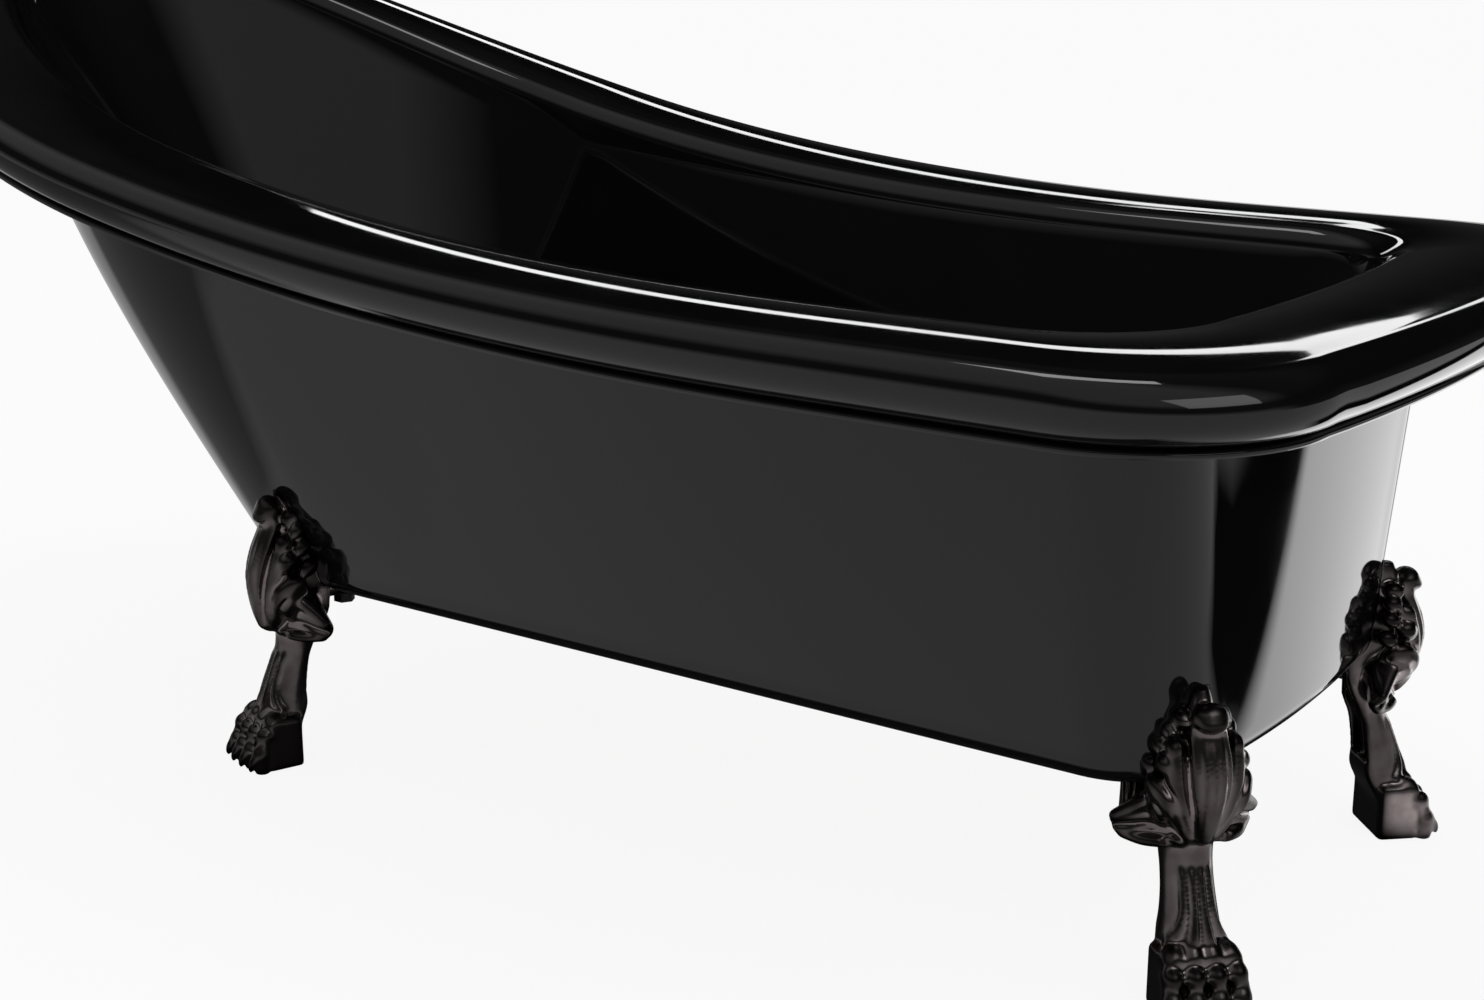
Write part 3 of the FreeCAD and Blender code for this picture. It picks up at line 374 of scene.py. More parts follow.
def gloss_acrylic(tree, place):
    """Cast acrylic sheet, vacuum formed and polished: deep black with a wet, very slightly wavy shine."""
    black = tuple(bpy.context.scene.bath_finish.acrylic)
    # handling haze in 60 mm patches, forming waves about 90 mm long, and polishing marks drawn at 1.2 mm,
    # coarser than real to show
    haze, waves, polish = (
        add_node(tree, "TexNoise", {"Scale": scale_for(size_mm), "Detail": detail}, {"Vector": place})
        for size_mm, detail in ((60.0, 4.0), (90.0, 1.0), (1.2, 2.0)))
    rough = add_node(tree, "MapRange", {"From Min": 0.35, "From Max": 0.7, "To Min": 0.025, "To Max": 0.055},
                     {"Value": haze})
    depth = add_node(tree, "Mix", {"data_type": "RGBA", 6: black, 7: shade(black, 1.6)}, {0: haze})
    wavy = add_node(tree, "Bump", {"Strength": 0.05, "Distance": 0.0006}, {"Height": waves})
    fine = add_node(tree, "Bump", {"Strength": 0.015, "Distance": 0.00005},
                    {"Height": polish, "Normal": wavy})
    return {"IOR": 1.49}, {"Base Color": depth, "Roughness": rough, "Normal": fine}


def plated_casting(tree, place):
    """Cast metal, polished by hand and dark plated: bright on the high spots, duller in the recesses."""
    look = bpy.context.scene.bath_finish
    relief = add_node(tree, "Attribute", {"attribute_name": "relief"}).outputs["Fac"]
    patches = add_node(tree, "TexNoise", {"Scale": scale_for(14.0), "Detail": 4.0}, {"Vector": place})
    worn = add_node(tree, "Mix", {"data_type": "RGBA", 6: tuple(look.casting_recess), 7: tuple(look.casting)},
                    {0: relief})
    cover = add_node(tree, "MapRange", {"From Min": 0.3, "From Max": 0.7, "To Max": 0.8}, {"Value": patches})
    tint = add_node(tree, "Mix", {"data_type": "RGBA", "blend_type": "MULTIPLY", 7: linear("d2cac8")},
                    {0: cover, 6: worn})
    dull = add_node(tree, "MapRange", {"To Min": 0.26, "To Max": 0.08}, {"Value": relief})
    uneven = add_node(tree, "Math", {"operation": "MULTIPLY_ADD", 1: 0.10}, {0: patches, 2: dull})
    # sand-cast skin left under the polish, drawn at 1.6 mm grit
    sand = add_node(tree, "TexNoise", {"Scale": scale_for(1.6), "Detail": 3.0}, {"Vector": place})
    skin = add_node(tree, "Bump", {"Strength": 0.10, "Distance": 0.0002}, {"Height": sand})
    return {"Metallic": 1.0}, {"Base Color": tint, "Roughness": uneven, "Normal": skin}


def sealed_board(tree, place):
    """Chipboard sealed with resin: pressed flakes 6 mm across under a dull amber coat."""
    flakes = add_node(tree, "TexVoronoi", {"Scale": scale_for(6.0)}, {"Vector": place})
    stain = add_node(tree, "TexNoise", {"Scale": scale_for(35.0), "Detail": 4.0}, {"Vector": place})
    base = add_node(tree, "Mix", {"data_type": "RGBA", 6: linear("b08a57"), 7: linear("8a6638")},
                    {0: flakes.outputs["Color"]})
    cover = add_node(tree, "MapRange", {"From Min": 0.45, "From Max": 0.75, "To Max": 0.6}, {"Value": stain})
    aged = add_node(tree, "Mix", {"data_type": "RGBA", 7: linear("6d4f2c")}, {0: cover, 6: base})
    rough = add_node(tree, "MapRange", {"From Min": 0.3, "From Max": 0.7, "To Min": 0.45, "To Max": 0.7},
                     {"Value": stain})
    height = add_node(tree, "Bump", {"Strength": 0.3, "Distance": 0.0004},
                      {"Height": flakes.outputs["Distance"]})
    return {}, {"Base Color": aged, "Roughness": rough, "Normal": height}


def plain_metal(tree, place, code, roughness, spread, marks_mm, bump):
    """Plain metal: its making left small marks that darken it and vary its shine and height."""
    return marked(tree, place, 1.0, code, 0.8, roughness, spread, marks_mm, 3.0, bump)


def moulded(tree, place, code, roughness, marks_mm, bump):
    """Rubber, plastic or powder coat with the fine texture that its mould or oven gave it."""
    return marked(tree, place, 0.0, code, 1.35, roughness, 0.12, marks_mm, 4.0, bump)


def marked(tree, place, metallic, code, second, roughness, spread, marks_mm, detail, bump):
    """Surface whose tone, shine and height all follow one pattern of marks."""
    marks = add_node(tree, "TexNoise", {"Scale": scale_for(marks_mm), "Detail": detail}, {"Vector": place})
    tint = add_node(tree, "Mix", {"data_type": "RGBA", 6: linear(code), 7: shade(linear(code), second)},
                    {0: marks})
    rough = add_node(tree, "MapRange", {"From Min": 0.3, "From Max": 0.7, "To Min": roughness,
                                        "To Max": roughness + spread}, {"Value": marks})
    height = add_node(tree, "Bump", {"Strength": bump, "Distance": 0.0002}, {"Height": marks})
    return {"Metallic": metallic}, {"Base Color": tint, "Roughness": rough, "Normal": height}


# maker and name, then for metals the colour, roughness, its spread, size of the marks in mm and bump,
# and the same without the spread for what is moulded
FINISHES = {
    "acrylic": (gloss_acrylic, "polished_black_acrylic"),
    "casting": (plated_casting, "dark_plated_casting"),
    "board": (sealed_board, "resin_sealed_board"),
    # thin plating over polished brass: a near mirror with a faint haze
    "chrome": (plain_metal, "polished_chrome_on_brass", "dcdee0", 0.04, 0.05, 22.0, 0.02),
    # turned on a lathe: warm yellow and satin, with short tool marks
    "brass": (plain_metal, "machined_brass", "b08d4c", 0.22, 0.14, 3.0, 0.08),
    # dipped in a plating bath: dull silver with a mottled bloom
    "zinc": (plain_metal, "zinc_plated_steel", "a9aba6", 0.30, 0.18, 4.0, 0.10),
    # oxidised in hot salts and oiled: nearly black, with a soft sheen
    "blacked": (plain_metal, "blackened_steel", "3a3a3c", 0.35, 0.15, 3.0, 0.10),
    # baked powder: black satin with the slight pebbling of orange peel
    "rail": (moulded, "black_powder_coat_steel", "1c1c1e", 0.42, 1.5, 0.25),
    # pressed in a blasted mould: matt, grey-black and fine grained
    "rubber": (moulded, "moulded_nitrile_rubber", "19191a", 0.62, 1.0, 0.30),
    # injection moulded: black with a low waxy shine
    "nylon": (moulded, "moulded_black_nylon", "202022", 0.40, 1.2, 0.20),
    # drawn through a die: pale grey, smooth and slightly waxy
    "hose": (moulded, "extruded_grey_polypropylene", "b9bbbd", 0.38, 2.0, 0.15),
}


@functools.cache
def finish(kind):
    """The shared material of one kind, made the first time it is asked for."""
    maker, name, *values = FINISHES[kind]
    material, tree = new_material(name)
    place = add_node(tree, "TexCoord").outputs["Object"]
    shader = add_node(tree, "BsdfPrincipled", *maker(tree, place, *values))
    add_node(tree, "OutputMaterial", links={"Surface": shader})
    return material


def dress(piece, kind, node, body=BODY):
    """Gives a new piece its material and its body, and hides the CAD node that it stands for."""
    piece.data.materials.clear()
    piece.data.materials.append(finish(kind))
    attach(piece, body)
    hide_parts(node)


# ---- casting

# height, front face, half width, back edge of the leg and the leaf's body
LEG = np.array((
    (30, 6, 26, -24), (50, 3, 22.5, -33), (62, -1.5, 20.5, -34), (78, -7.5, 19, -36), (94, -13, 18.5, -39),
    (106, -15.5, 19, -44), (116, -15.5, 20.5, -49), (124, -11, 22.5, -53), (132, -5, 24.5, -56),
    (142, -2, 24, -57), (155, -2, 22, -56), (170, -4, 19, -51), (186, -6, 15.5, -47), (200, -9, 12, -44),
    (212, -12, 9, -42), (222, -15, 7, -40), (230, -18, 5, -38)), float)


class Casting:
    """The casting as a field of distances to its surface, in millimetres, in which shapes melt together."""

    FAR = 12.0

    def __init__(self, low, high, step):
        self.low, self.step = np.array(low, float), step
        self.axes = [np.arange(first, last, step) for first, last in zip(low, high)]
        self.field = np.full([len(axis) for axis in self.axes], self.FAR, np.float32)

    def window(self, low, high):
        """The grid's part between two corners, with its coordinates."""
        spans = []
        for axis, first, last in zip(self.axes, low, high):
            start = int(np.searchsorted(axis, first))
            spans.append(slice(start, max(start, int(np.searchsorted(axis, last)))))
        spans = tuple(spans)
        shown = (axis[span] for axis, span in zip(self.axes, spans))
        return spans, np.meshgrid(*shown, indexing="ij", sparse=True)

    def join(self, spans, distance, blend, cut):
        """Melts a shape into the casting or takes it away, with a fillet as wide as the blend."""
        sign = -1 if cut else 1
        old = sign * self.field[spans]
        near = np.maximum(blend - np.abs(old - distance), 0) / blend
        self.field[spans] = sign * (np.minimum(old, distance) - near ** 2 * blend / 4)

    def ball(self, centre, radii, turn=(0, 0, 0), blend=2.0, cut=False):
        """Ellipsoid, turned by degrees about the casting's axes."""
        reach = max(radii) + blend + 2
        centre = np.array(centre, float)
        spans, (x, y, z) = self.window(centre - reach, centre + reach)
        spin = Matrix.Identity(3)
        for axis, degrees in zip("XYZ", turn):
            spin = spin @ Matrix.Rotation(math.radians(degrees), 3, axis)
        own = [(spin.col[i][0] * (x - centre[0]) + spin.col[i][1] * (y - centre[1])
                + spin.col[i][2] * (z - centre[2])) / radii[i] for i in range(3)]
        near = np.sqrt(sum(part ** 2 for part in own))
        slope = np.sqrt(sum((part / radius) ** 2 for part, radius in zip(own, radii))) + 1e-6
        self.join(spans, near * (near - 1) / slope, blend, cut)

    def ridge(self, path, radii, depths=None, facing=(1, 0, 0), blend=2.0, cut=False):
        """Tapering rounded ridge or groove along a path: its depth is measured towards its facing."""
        depths = radii if depths is None else depths
        ts = np.linspace(0, len(path) - 1, (len(path) - 1) * 9 + 1)
        rows = catmull([(*point, wide, deep) for point, wide, deep in zip(path, radii, depths)], ts)
        reach = max(rows[:, 3].max(), rows[:, 4].max()) + blend + 2
        whole, grid = self.window(rows[:, :3].min(axis=0) - reach, rows[:, :3].max(axis=0) + reach)
        own = np.full([span.stop - span.start for span in whole], self.FAR, np.float32)
        for first, last in zip(rows, rows[1:]):
            ahead = last[:3] - first[:3]
            size = max(float(np.linalg.norm(ahead)), 1e-6)
            ahead = ahead / size
            side = np.cross(ahead, facing)
            side /= np.linalg.norm(side)
            out = np.cross(side, ahead)
            spans, (x, y, z) = self.window(np.minimum(first[:3], last[:3]) - reach,
                                           np.maximum(first[:3], last[:3]) + reach)
            x, y, z = x - first[0], y - first[1], z - first[2]
            along = x * ahead[0] + y * ahead[1] + z * ahead[2]
            share = np.clip(along / size, 0, 1)
            wide = first[3] + (last[3] - first[3]) * share
            deep = first[4] + (last[4] - first[4]) * share
            across = (x * side[0] + y * side[1] + z * side[2]) / wide
            proud = (x * out[0] + y * out[1] + z * out[2]) / deep
            least = np.minimum(wide, deep)
            past = (along - share * size) / least
            distance = (np.sqrt(across ** 2 + proud ** 2 + past ** 2) - 1) * least
            place = tuple(slice(span.start - full.start, span.stop - full.start)
                          for span, full in zip(spans, whole))
            own[place] = np.minimum(own[place], distance)
        self.join(whole, own, blend, cut)

    def box(self, low, high, bevel, blend=2.0, cut=False):
        """Box with rounded edges."""
        low, high = np.array(low, float), np.array(high, float)
        spans, grid = self.window(low - blend - 3, high + blend + 3)
        over = [np.abs(part - middle) - half + bevel
                for part, middle, half in zip(grid, (low + high) / 2, (high - low) / 2)]
        outside = np.sqrt(sum(np.maximum(part, 0) ** 2 for part in over))
        inside = np.minimum(np.maximum(np.maximum(over[0], over[1]), over[2]), 0)
        self.join(spans, outside + inside - bevel, blend, cut)

    def upright(self, rows, blend=2.0, cut=False):
        """Upright body with a rounded front through (height, front, half width, back) rows."""
        low = (rows[:, 3].min() - 4, -rows[:, 2].max() - 4, rows[0, 0])
        spans, (x, y, z) = self.window(low, (rows[:, 1].max() + 4, rows[:, 2].max() + 4, rows[-1, 0]))
        heights = np.clip(np.interp(z, rows[:, 0], np.arange(len(rows))), 0, len(rows) - 1)
        front, half, back = np.moveaxis(catmull(rows[:, 1:], heights.ravel()), 1, 0)[:, None, None, :]
        nose = front - np.minimum(half * 1.1, front - back - 4)
        ahead = np.maximum(x - nose, 0) / (front - nose)
        behind = np.clip((nose - x) / (nose - back), 0, 1)
        half = half * (1 - 0.15 * behind)
        rounded = (np.sqrt(ahead ** 2 + (y / half) ** 2) - 1) * np.minimum(front - nose, half)
        distance = np.maximum(rounded, back - x)
        distance = np.maximum(distance, np.maximum(rows[0, 0] + 1 - z, z - rows[-1, 0] + 1))
        self.join(spans, distance, blend, cut)

    def face(self, y, z, lift=0.0):
        """Point on the front of the casting as it is so far, lifted off it or sunk into it."""
        column = (int(round((value - low) / self.step)) for value, low in zip((y, z), self.low[1:]))
        row = self.field[(slice(None), *column)]
        inside = np.nonzero(row < 0)[0]
        last = int(inside[-1]) if len(inside) else int(row.argmin())
        share = min(1.0, max(0.0, float(row[last] / (row[last] - row[last + 1] - 1e-6))))
        return (float(self.axes[0][last] + share * self.step) + lift, y, z)

    def mesh(self, name):
        """Mesh of the surface, in metres, standing flat on the floor."""
        spans, (x, y, z) = self.window(self.low, self.low + 1e4)
        for axis in range(3):
            self.field = (np.roll(self.field, 1, axis) + 2 * self.field + np.roll(self.field, -1, axis)) / 4
        flat = np.maximum(self.field, (0.2 - z).astype(np.float32))
        grid = openvdb.FloatGrid()
        grid.background = self.FAR
        grid.copyFromArray(flat)
        points, triangles, quads = grid.convertToPolygons(isovalue=0.0)
        mesh = bpy.data.meshes.new(name)
        places = (points * self.step + self.low) * MM
        mesh.from_pydata(places.tolist(), [], quads.tolist() + triangles.tolist())
        mesh.flip_normals()
        return mesh


def acanthus(casting):
    """Leaf over the knee: a tall fluted middle lobe, tip curled forward, between two pairs of side lobes."""
    for side in (1, -1):
        # lower side lobe, then the upper one with its two rolled tips
        casting.ball((-17, 24 * side, 149), (16, 10.5, 19), (-14 * side, 14, 0), 3.0)
        casting.ball((-19, 30 * side, 158), (11, 6.5, 10), (-24 * side, 0, 0), 2.5)
        casting.ridge(((-12, 7 * side, 121), (-8, 13 * side, 136), (-7, 17 * side, 154), (-9, 19 * side, 174),
                       (-12, 20 * side, 188)), (4, 7, 8.5, 8, 6.5), (4, 8, 9, 9, 7), blend=2.0)
        casting.ball((-12, 20 * side, 190), (8.5, 7.0, 7.0), (0, 25, 0), 1.5)
        casting.ball((-14, 26 * side, 177), (8.5, 7.0, 7.5), (0, 20, 0), 1.5)
        # small lobes along the edge that meets the shell
        for x, y, z, size in ((-21, 14, 207, 7), (-24, 20, 198, 6.5), (-27, 25, 186, 6.5), (-31, 30, 172, 7)):
            casting.ball((x, y * side, z), (size + 2, size, size), (0, 25, 0), 1.5)
    casting.ridge(((-12, 0, 120), (-5, 0, 130), (-1, 0, 145), (2, 0, 163), (0, 0, 180), (-6, 0, 196),
                   (-9, 0, 208)), (4, 8.5, 12, 14, 14.5, 13.5, 11.5), (5, 8.5, 10, 10.5, 10, 8.5, 8),
                  blend=1.6)
    casting.ball((-6, 0, 212), (10.5, 13, 11), (0, 25, 0), 2.0)
    casting.ball((0, 0, 210), (7.5, 10.5, 5.5), (0, 32, 0), 2.0)


def creases(casting):
    """Flutes of the middle lobe and the folds that part the lobes."""
    flutes = []
    for spread in (-3, -1, 1, 3):
        flutes.append(([casting.face(y * spread, z, 0.6) for y, z in
                        ((3.1, 201), (3.4, 188), (3.4, 170), (2.9, 150), (2.1, 136), (1.2, 125))],
                       (1.2, 2.3, 2.4, 2.1, 1.8, 1.2), 1.4))
    for side in (1, -1):
        for rows, radii in (
                (((15, 202), (15.5, 182), (14.5, 162), (11, 142), (6.5, 125)), (1.8, 2.6, 2.8, 2.6, 2.0)),
                (((29, 166), (24, 156), (18, 142), (11, 126)), (2.0, 2.4, 2.2, 1.8)),
                (((34, 150), (28, 140), (19, 129), (9, 117)), (2.2, 2.6, 2.4, 1.6)),
                (((22, 196), (21, 184), (19, 170)), (0.8, 1.2, 0.8)),
                (((26, 150), (23, 142), (19, 134)), (1.0, 1.5, 1.0))):
            flutes.append(([casting.face(y * side, z, 0.4) for y, z in rows], radii, 1.4))
        casting.ball(casting.face(27 * side, 137, 0.0), (3.2, 4.0, 3.2), blend=1.5, cut=True)
    for path, radii, blend in flutes:
        casting.ridge(path, radii, blend=blend, cut=True)
    # undercut below the leaf's lip
    casting.ridge(((-14, -24, 120), (-9, -12, 114.5), (-7, 0, 112.5), (-9, 12, 114.5), (-14, 24, 120)),
                  (2.5, 3.2, 3.6, 3.2, 2.5), (5, 6, 6.5, 6, 5), blend=2.0, cut=True)


# path, radii, depths, blend and whether it is cut: the wing, its upper fold, its lower lip and its crease
WINGS = (
    (((-28, 8, 133), (-32, 20, 136), (-36, 33, 131), (-42, 45, 124)), (18, 18, 13.5, 8), (15, 13, 10, 6.5),
     4.0, False),
    (((-20, 26, 151), (-29, 36, 143), (-40, 50, 131)), (4.5, 4.6, 3.6), (6, 5.5, 4), 2.5, False),
    (((-15, 9, 119), (-19, 20, 118), (-28, 33, 117), (-40, 43, 117)), (3.2, 4.2, 4.4, 3.6),
     (4.2, 5.4, 5.4, 4.0), 2.5, False),
    (((-12, 20, 128), (-21, 32, 129), (-32, 44, 125), (-44, 54, 121)), (1.8, 2.4, 2.2, 1.6), (5, 6, 5, 4),
     2.0, True))


def wings(casting):
    """Blunt wings that stand out on each side below the bath's edge, creased along their length."""
    for side in (1, -1):
        for path, radii, depths, blend, cut in WINGS:
            casting.ridge([(x, y * side, z) for x, y, z in path], radii, depths, blend=blend, cut=cut)


def tendons(casting):
    """Tendons that run down the shank and fan out over the toes."""
    rows = ((100, 6.6, -2.4), (94, 6.6, 0.0), (80, 6.8, 0.6), (68, 7.6, 0.6), (57, 10, 0.4), (49, 12.5, -1.0))
    paths = [[casting.face(spread * lateral, height, sunk) for height, spread, sunk in rows]
             for lateral in (-1.5, -0.5, 0.5, 1.5)]
    for path in paths:
        casting.ridge(path, (1.2, 1.9, 2.1, 2.4, 3.2, 4.2), (1.2, 2.2, 2.6, 2.8, 3.4, 4.2), blend=1.4)


def paw(casting):
    """Paw: a flat-sided block with four knuckled toes and blunt claws."""
    casting.box((-24, -28.5, -6), (9, 28.5, 45), 4.5, 2.0)
    casting.box((-20, -22, 20), (4, 22, 50), 7.0, 3.0)
    for lateral in (-1.5, -0.5, 0.5, 1.5):
        y, fan = 14.2 * lateral, 1.5 * lateral
        reach = 2.0 if abs(lateral) < 1 else 0.0
        for x, z, close, *radii in ((-1, 42.5, 0.93, 9.5, 7.6, 7.4), (9, 31, 1, 9, 7.8, 8.2),
                                    (14.5, 15.5, 1, 8.5, 8.2, 9.0)):
            casting.ball((x + reach, y * close + fan * x / 12, z), radii, blend=2.2)
        casting.ridge([(x + reach, y + fan * 1.6, z) for x, z in ((12, 24), (15, 12), (14, 1))],
                      (6.4, 7.2, 6.6), (6.0, 6.4, 6.6), (0, 1, 0), 1.6)
        casting.ridge([(x + reach, y + fan * 1.7, z) for x, z in ((19, 15), (23.5, 10), (25, 4.5))],
                      (4.2, 3.4, 2.2), (4.6, 3.8, 2.4), (0, 1, 0), 1.2)


def casting_mesh(step):
    """The whole casting in metres, in its own frame: +X is its front."""
    casting = Casting((-102, -64, -3), (36, 64, 236), step)
    casting.upright(LEG, 3.0)
    tendons(casting)
    paw(casting)
    wings(casting)
    acanthus(casting)
    creases(casting)
    # open back of the casting, with its rib and the ledge that the bolt holds
    inner = LEG[(LEG[:, 0] > 55) & (LEG[:, 0] < 150)].copy()
    inner[:, 1] -= 8
    inner[:, 2] -= 5
    inner[:, 3] -= 30
    casting.upright(inner, 1.5, cut=True)
    web = inner + np.array((0, 2, 0, 33))
    web[:, 2] = 2.5
    casting.upright(web, 1.5)
    casting.box((-96, -15, 140.8), (-22, 15, 150.5), 1.2, 1.5)
    casting.ridge(((-80, 0, 130), (-80, 0, 160)), (5.5, 5.5), blend=0.5, cut=True)
    casting.ridge(((-8, 0, -12), (-8, 0, 8)), (12.5, 12.5), blend=0.5, cut=True)
    return casting.mesh("casting")


def neighbours(mesh):
    """Edges of a mesh and how many meet at each vertex."""
    edges = np.empty(len(mesh.edges) * 2, dtype=np.int64)
    mesh.edges.foreach_get("vertices", edges)
    return edges.reshape(-1, 2), np.bincount(edges, minlength=len(mesh.vertices))[:, None]


def averaged(where, edges, degree):
    """Each vertex's place averaged over its neighbours."""
    total = np.zeros_like(where)
    for column in range(3):
        total[:, column] = (np.bincount(edges[:, 0], where[edges[:, 1], column], len(where))
                            + np.bincount(edges[:, 1], where[edges[:, 0], column], len(where)))
    return total / degree


def vertex_rows(mesh, name):
    """Places or normals of a mesh's vertices, a row each."""
    rows = np.empty(len(mesh.vertices) * 3)
    mesh.vertices.foreach_get(name, rows)
    return rows.reshape(-1, 3)


EVENING_PASSES, SURROUNDINGS_PASSES, RELIEF_PASSES = 12, 20, 8
PAW_SOLE = 0.0012
RELIEF_DEPTH = 0.0014
LEAF_FROM, LEAF_HEIGHT = 0.120, 0.110


def relax(mesh):
    """Evens out the grid's steps without moving the sole that stands on the floor."""
    edges, degree = neighbours(mesh)
    where = vertex_rows(mesh, "co")
    for step in range(EVENING_PASSES):
        moved = where + 0.5 * (averaged(where, edges, degree) - where)
        moved[:, 2] = np.where(where[:, 2] < PAW_SOLE, where[:, 2], moved[:, 2])
        where = moved
    mesh.vertices.foreach_set("co", where.ravel())
    mesh.update()


def relief_of(mesh):
    """How proud each vertex stands of its surroundings, from 0 in a recess to 1 on a ridge."""
    edges, degree = neighbours(mesh)
    where = vertex_rows(mesh, "co")
    around = where.copy()
    for step in range(SURROUNDINGS_PASSES):
        around = averaged(around, edges, degree)
    proud = np.einsum("ij,ij->i", where - around, vertex_rows(mesh, "normal"))
    relief = np.column_stack([proud] * 3)
    for step in range(RELIEF_PASSES):
        relief = averaged(relief, edges, degree)
    return np.clip(0.55 + relief[:, 0] / RELIEF_DEPTH, 0, 1)


def set_leaf(mesh, lean, rise):
    """Bends the leaf back towards the shell and stretches it upwards, as fitted to the shell's slope."""
    where = vertex_rows(mesh, "co")
    share = np.clip((where[:, 2] - LEAF_FROM) / LEAF_HEIGHT, 0, 1.2)
    where[:, 0] -= lean * share
    where[:, 2] += rise * share ** 1.5
    mesh.vertices.foreach_set("co", where.ravel())


# place and turn of each foot, and how far its leaf leans back and rises to fit the shell's slope there
FOOT_PLACES = {
    "head_right": (-0.1805, -0.2435, -110.0, 0.010, 0.016),
    "head_left": (-0.1805, 0.2435, 110.0, 0.010, 0.016),
    "drain_right": (0.666, -0.189, -43.0, 0.0, -0.004),
    "drain_left": (0.666, 0.189, 43.0, 0.0, -0.004)}


def press_against(mesh, envelope):
    """Moves what would lie inside the outer shell out onto its surface."""
    for vertex in mesh.vertices:
        near, normal, face, distance = envelope.find_nearest(vertex.co)
        if (vertex.co - near).dot(normal) < 0:
            vertex.co = near


# ---- turned pieces

def lathe(bm, profile, place, sides=96):
    """Turned solid through (radius, height) steps in millimetres; zero radii close on the axis."""
    turns = [2 * math.pi * step / sides for step in range(sides)]
    loops = []
    for radius, height in profile:
        ring = [(radius * math.cos(turn), radius * math.sin(turn), height)
                for turn in (turns if radius else turns[:1])]
        loops.append([bm.verts.new(place @ (Vector(point) * MM)) for point in ring])
    closed = profile[0][0] != 0
    for low, high in list(zip(loops, loops[1:])) + ([(loops[-1], loops[0])] if closed else []):
        for i in range(sides):
            j = (i + 1) % sides
            corners = ([low[0]] if len(low) == 1 else [low[i], low[j]]) + (
                [high[0]] if len(high) == 1 else [high[j], high[i]])
            bm.faces.new(corners)


def arc(cx, cz, radius, start, end, steps=6):
    """Rounded corner as (radius, height) steps."""
    turns = [math.radians(start + (end - start) * step / steps) for step in range(steps + 1)]
    return [(cx + radius * math.cos(turn), cz + radius * math.sin(turn)) for turn in turns]


def overflow_place():
    """Place of the overflow on the foot-end wall; its +Z runs out through the wall."""
    foot, top = Vector((0.555, 0, 0.262)), Vector((0.640, 0, 0.448))
    share = (0.392 - foot.z) / (top.z - foot.z)
    lean = math.atan2(top.x - foot.x, top.z - foot.z)
    return Matrix.Translation(foot.lerp(top, share)) @ Matrix.Rotation(math.pi / 2 + lean, 4, "Y")


# ---- operators

def build_shell(name, rings, node):
    """One of the two acrylic shells, closed through its rings."""
    bm = bmesh.new()
    skin_rings(bm, rings, close_rings=True)
    dress(new_object(name, mesh_of(name, bm)), "acrylic", node)
    return {"FINISHED"}


class BuildBasin(bpy.types.Operator):
    """Build the basin with its rolled rim"""
    bl_idname = "bath.build_basin"
    bl_label = "Basin"

    def execute(self, context):
        rings = Shells(context.scene.bath_shape).basin()
        return build_shell("acrylic_basin", rings, "basin")


class BuildSkin(bpy.types.Operator):
    """Build the outer shell"""
    bl_idname = "bath.build_skin"
    bl_label = "Outer shell"

    def execute(self, context):
        rings = Shells(context.scene.bath_shape).skin()
        return build_shell("acrylic_outer_shell", rings, "outer_skin")


class BuildFeet(bpy.types.Operator):
    """Build the four cast lion-paw feet"""
    bl_idname = "bath.build_feet"
    bl_label = "Feet"

    def execute(self, context):
        sizes = context.scene.foot_shape
        solid = bmesh.new()
        skin_rings(solid, Shells(context.scene.bath_shape).envelope(sizes.proud), capped=True)
        bmesh.ops.recalc_face_normals(solid, faces=solid.faces)
        envelope = BVHTree.FromBMesh(solid)
        solid.free()
        blank = casting_mesh(sizes.voxel / MM)
        relax(blank)
        attribute = blank.attributes.new("relief", "FLOAT", "POINT")
        attribute.data.foreach_set("value", relief_of(blank).astype(np.float32))
        for name, (x, y, turn, lean, rise) in FOOT_PLACES.items():
            mesh = blank.copy()
            set_leaf(mesh, lean, rise)
            mesh.transform(Matrix.Translation((x, y, 0)) @ Matrix.Rotation(math.radians(turn), 4, "Z"))
            press_against(mesh, envelope)
            dress(new_object("cast_foot_" + name, mesh), "casting", "foot_" + name)
        bpy.data.meshes.remove(blank)
        return {"FINISHED"}


class BuildWaste(bpy.types.Operator):
    """Build the waste flange, the plug and the overflow cover"""
    bl_idname = "bath.build_waste"
    bl_label = "Waste and overflow"

    def execute(self, context):
        place = Matrix.Translation((WASTE_X, 0, context.scene.bath_shape.floor_top))
        plug_place = place @ Matrix.Translation((0, 0, 3.3 * MM))
        # name, CAD node, body, place, then (radius, height) steps in millimetres
        for name, node, body, where, profile in (
                ("waste_flange", "drain_flange", BODY, place,
                 [(20, -42), (23, -42), (23, 0.3), (35, 0.3)] + arc(33, 1.0, 2.0, -10, 90)
                 + arc(22, 1.0, 2.0, 90, 180)),
                ("plug_dome", "plug_cap", "plug", plug_place,
                 [(0, -30), (4, -30), (4, 0), (26, 0)] + arc(25.2, 1.8, 1.8, -90, 60)
                 + [(22, 4.4), (16, 5.4), (8, 5.9), (0, 6)]),
                ("overflow_rose", "overflow_cover", BODY, overflow_place(),
                 [(13, -1.4), (34, -1.4)] + [(r, -z) for r, z in arc(31, 6.5, 3.0, 0, 90)]
                 + [(24, -9.8), (17, -9.2), (14, -8.2), (13, -6.5)])):
            bm = bmesh.new()
            lathe(bm, profile, where)
            dress(new_object(name, mesh_of(name, bm)), "chrome", node, body)
        return {"FINISHED"}


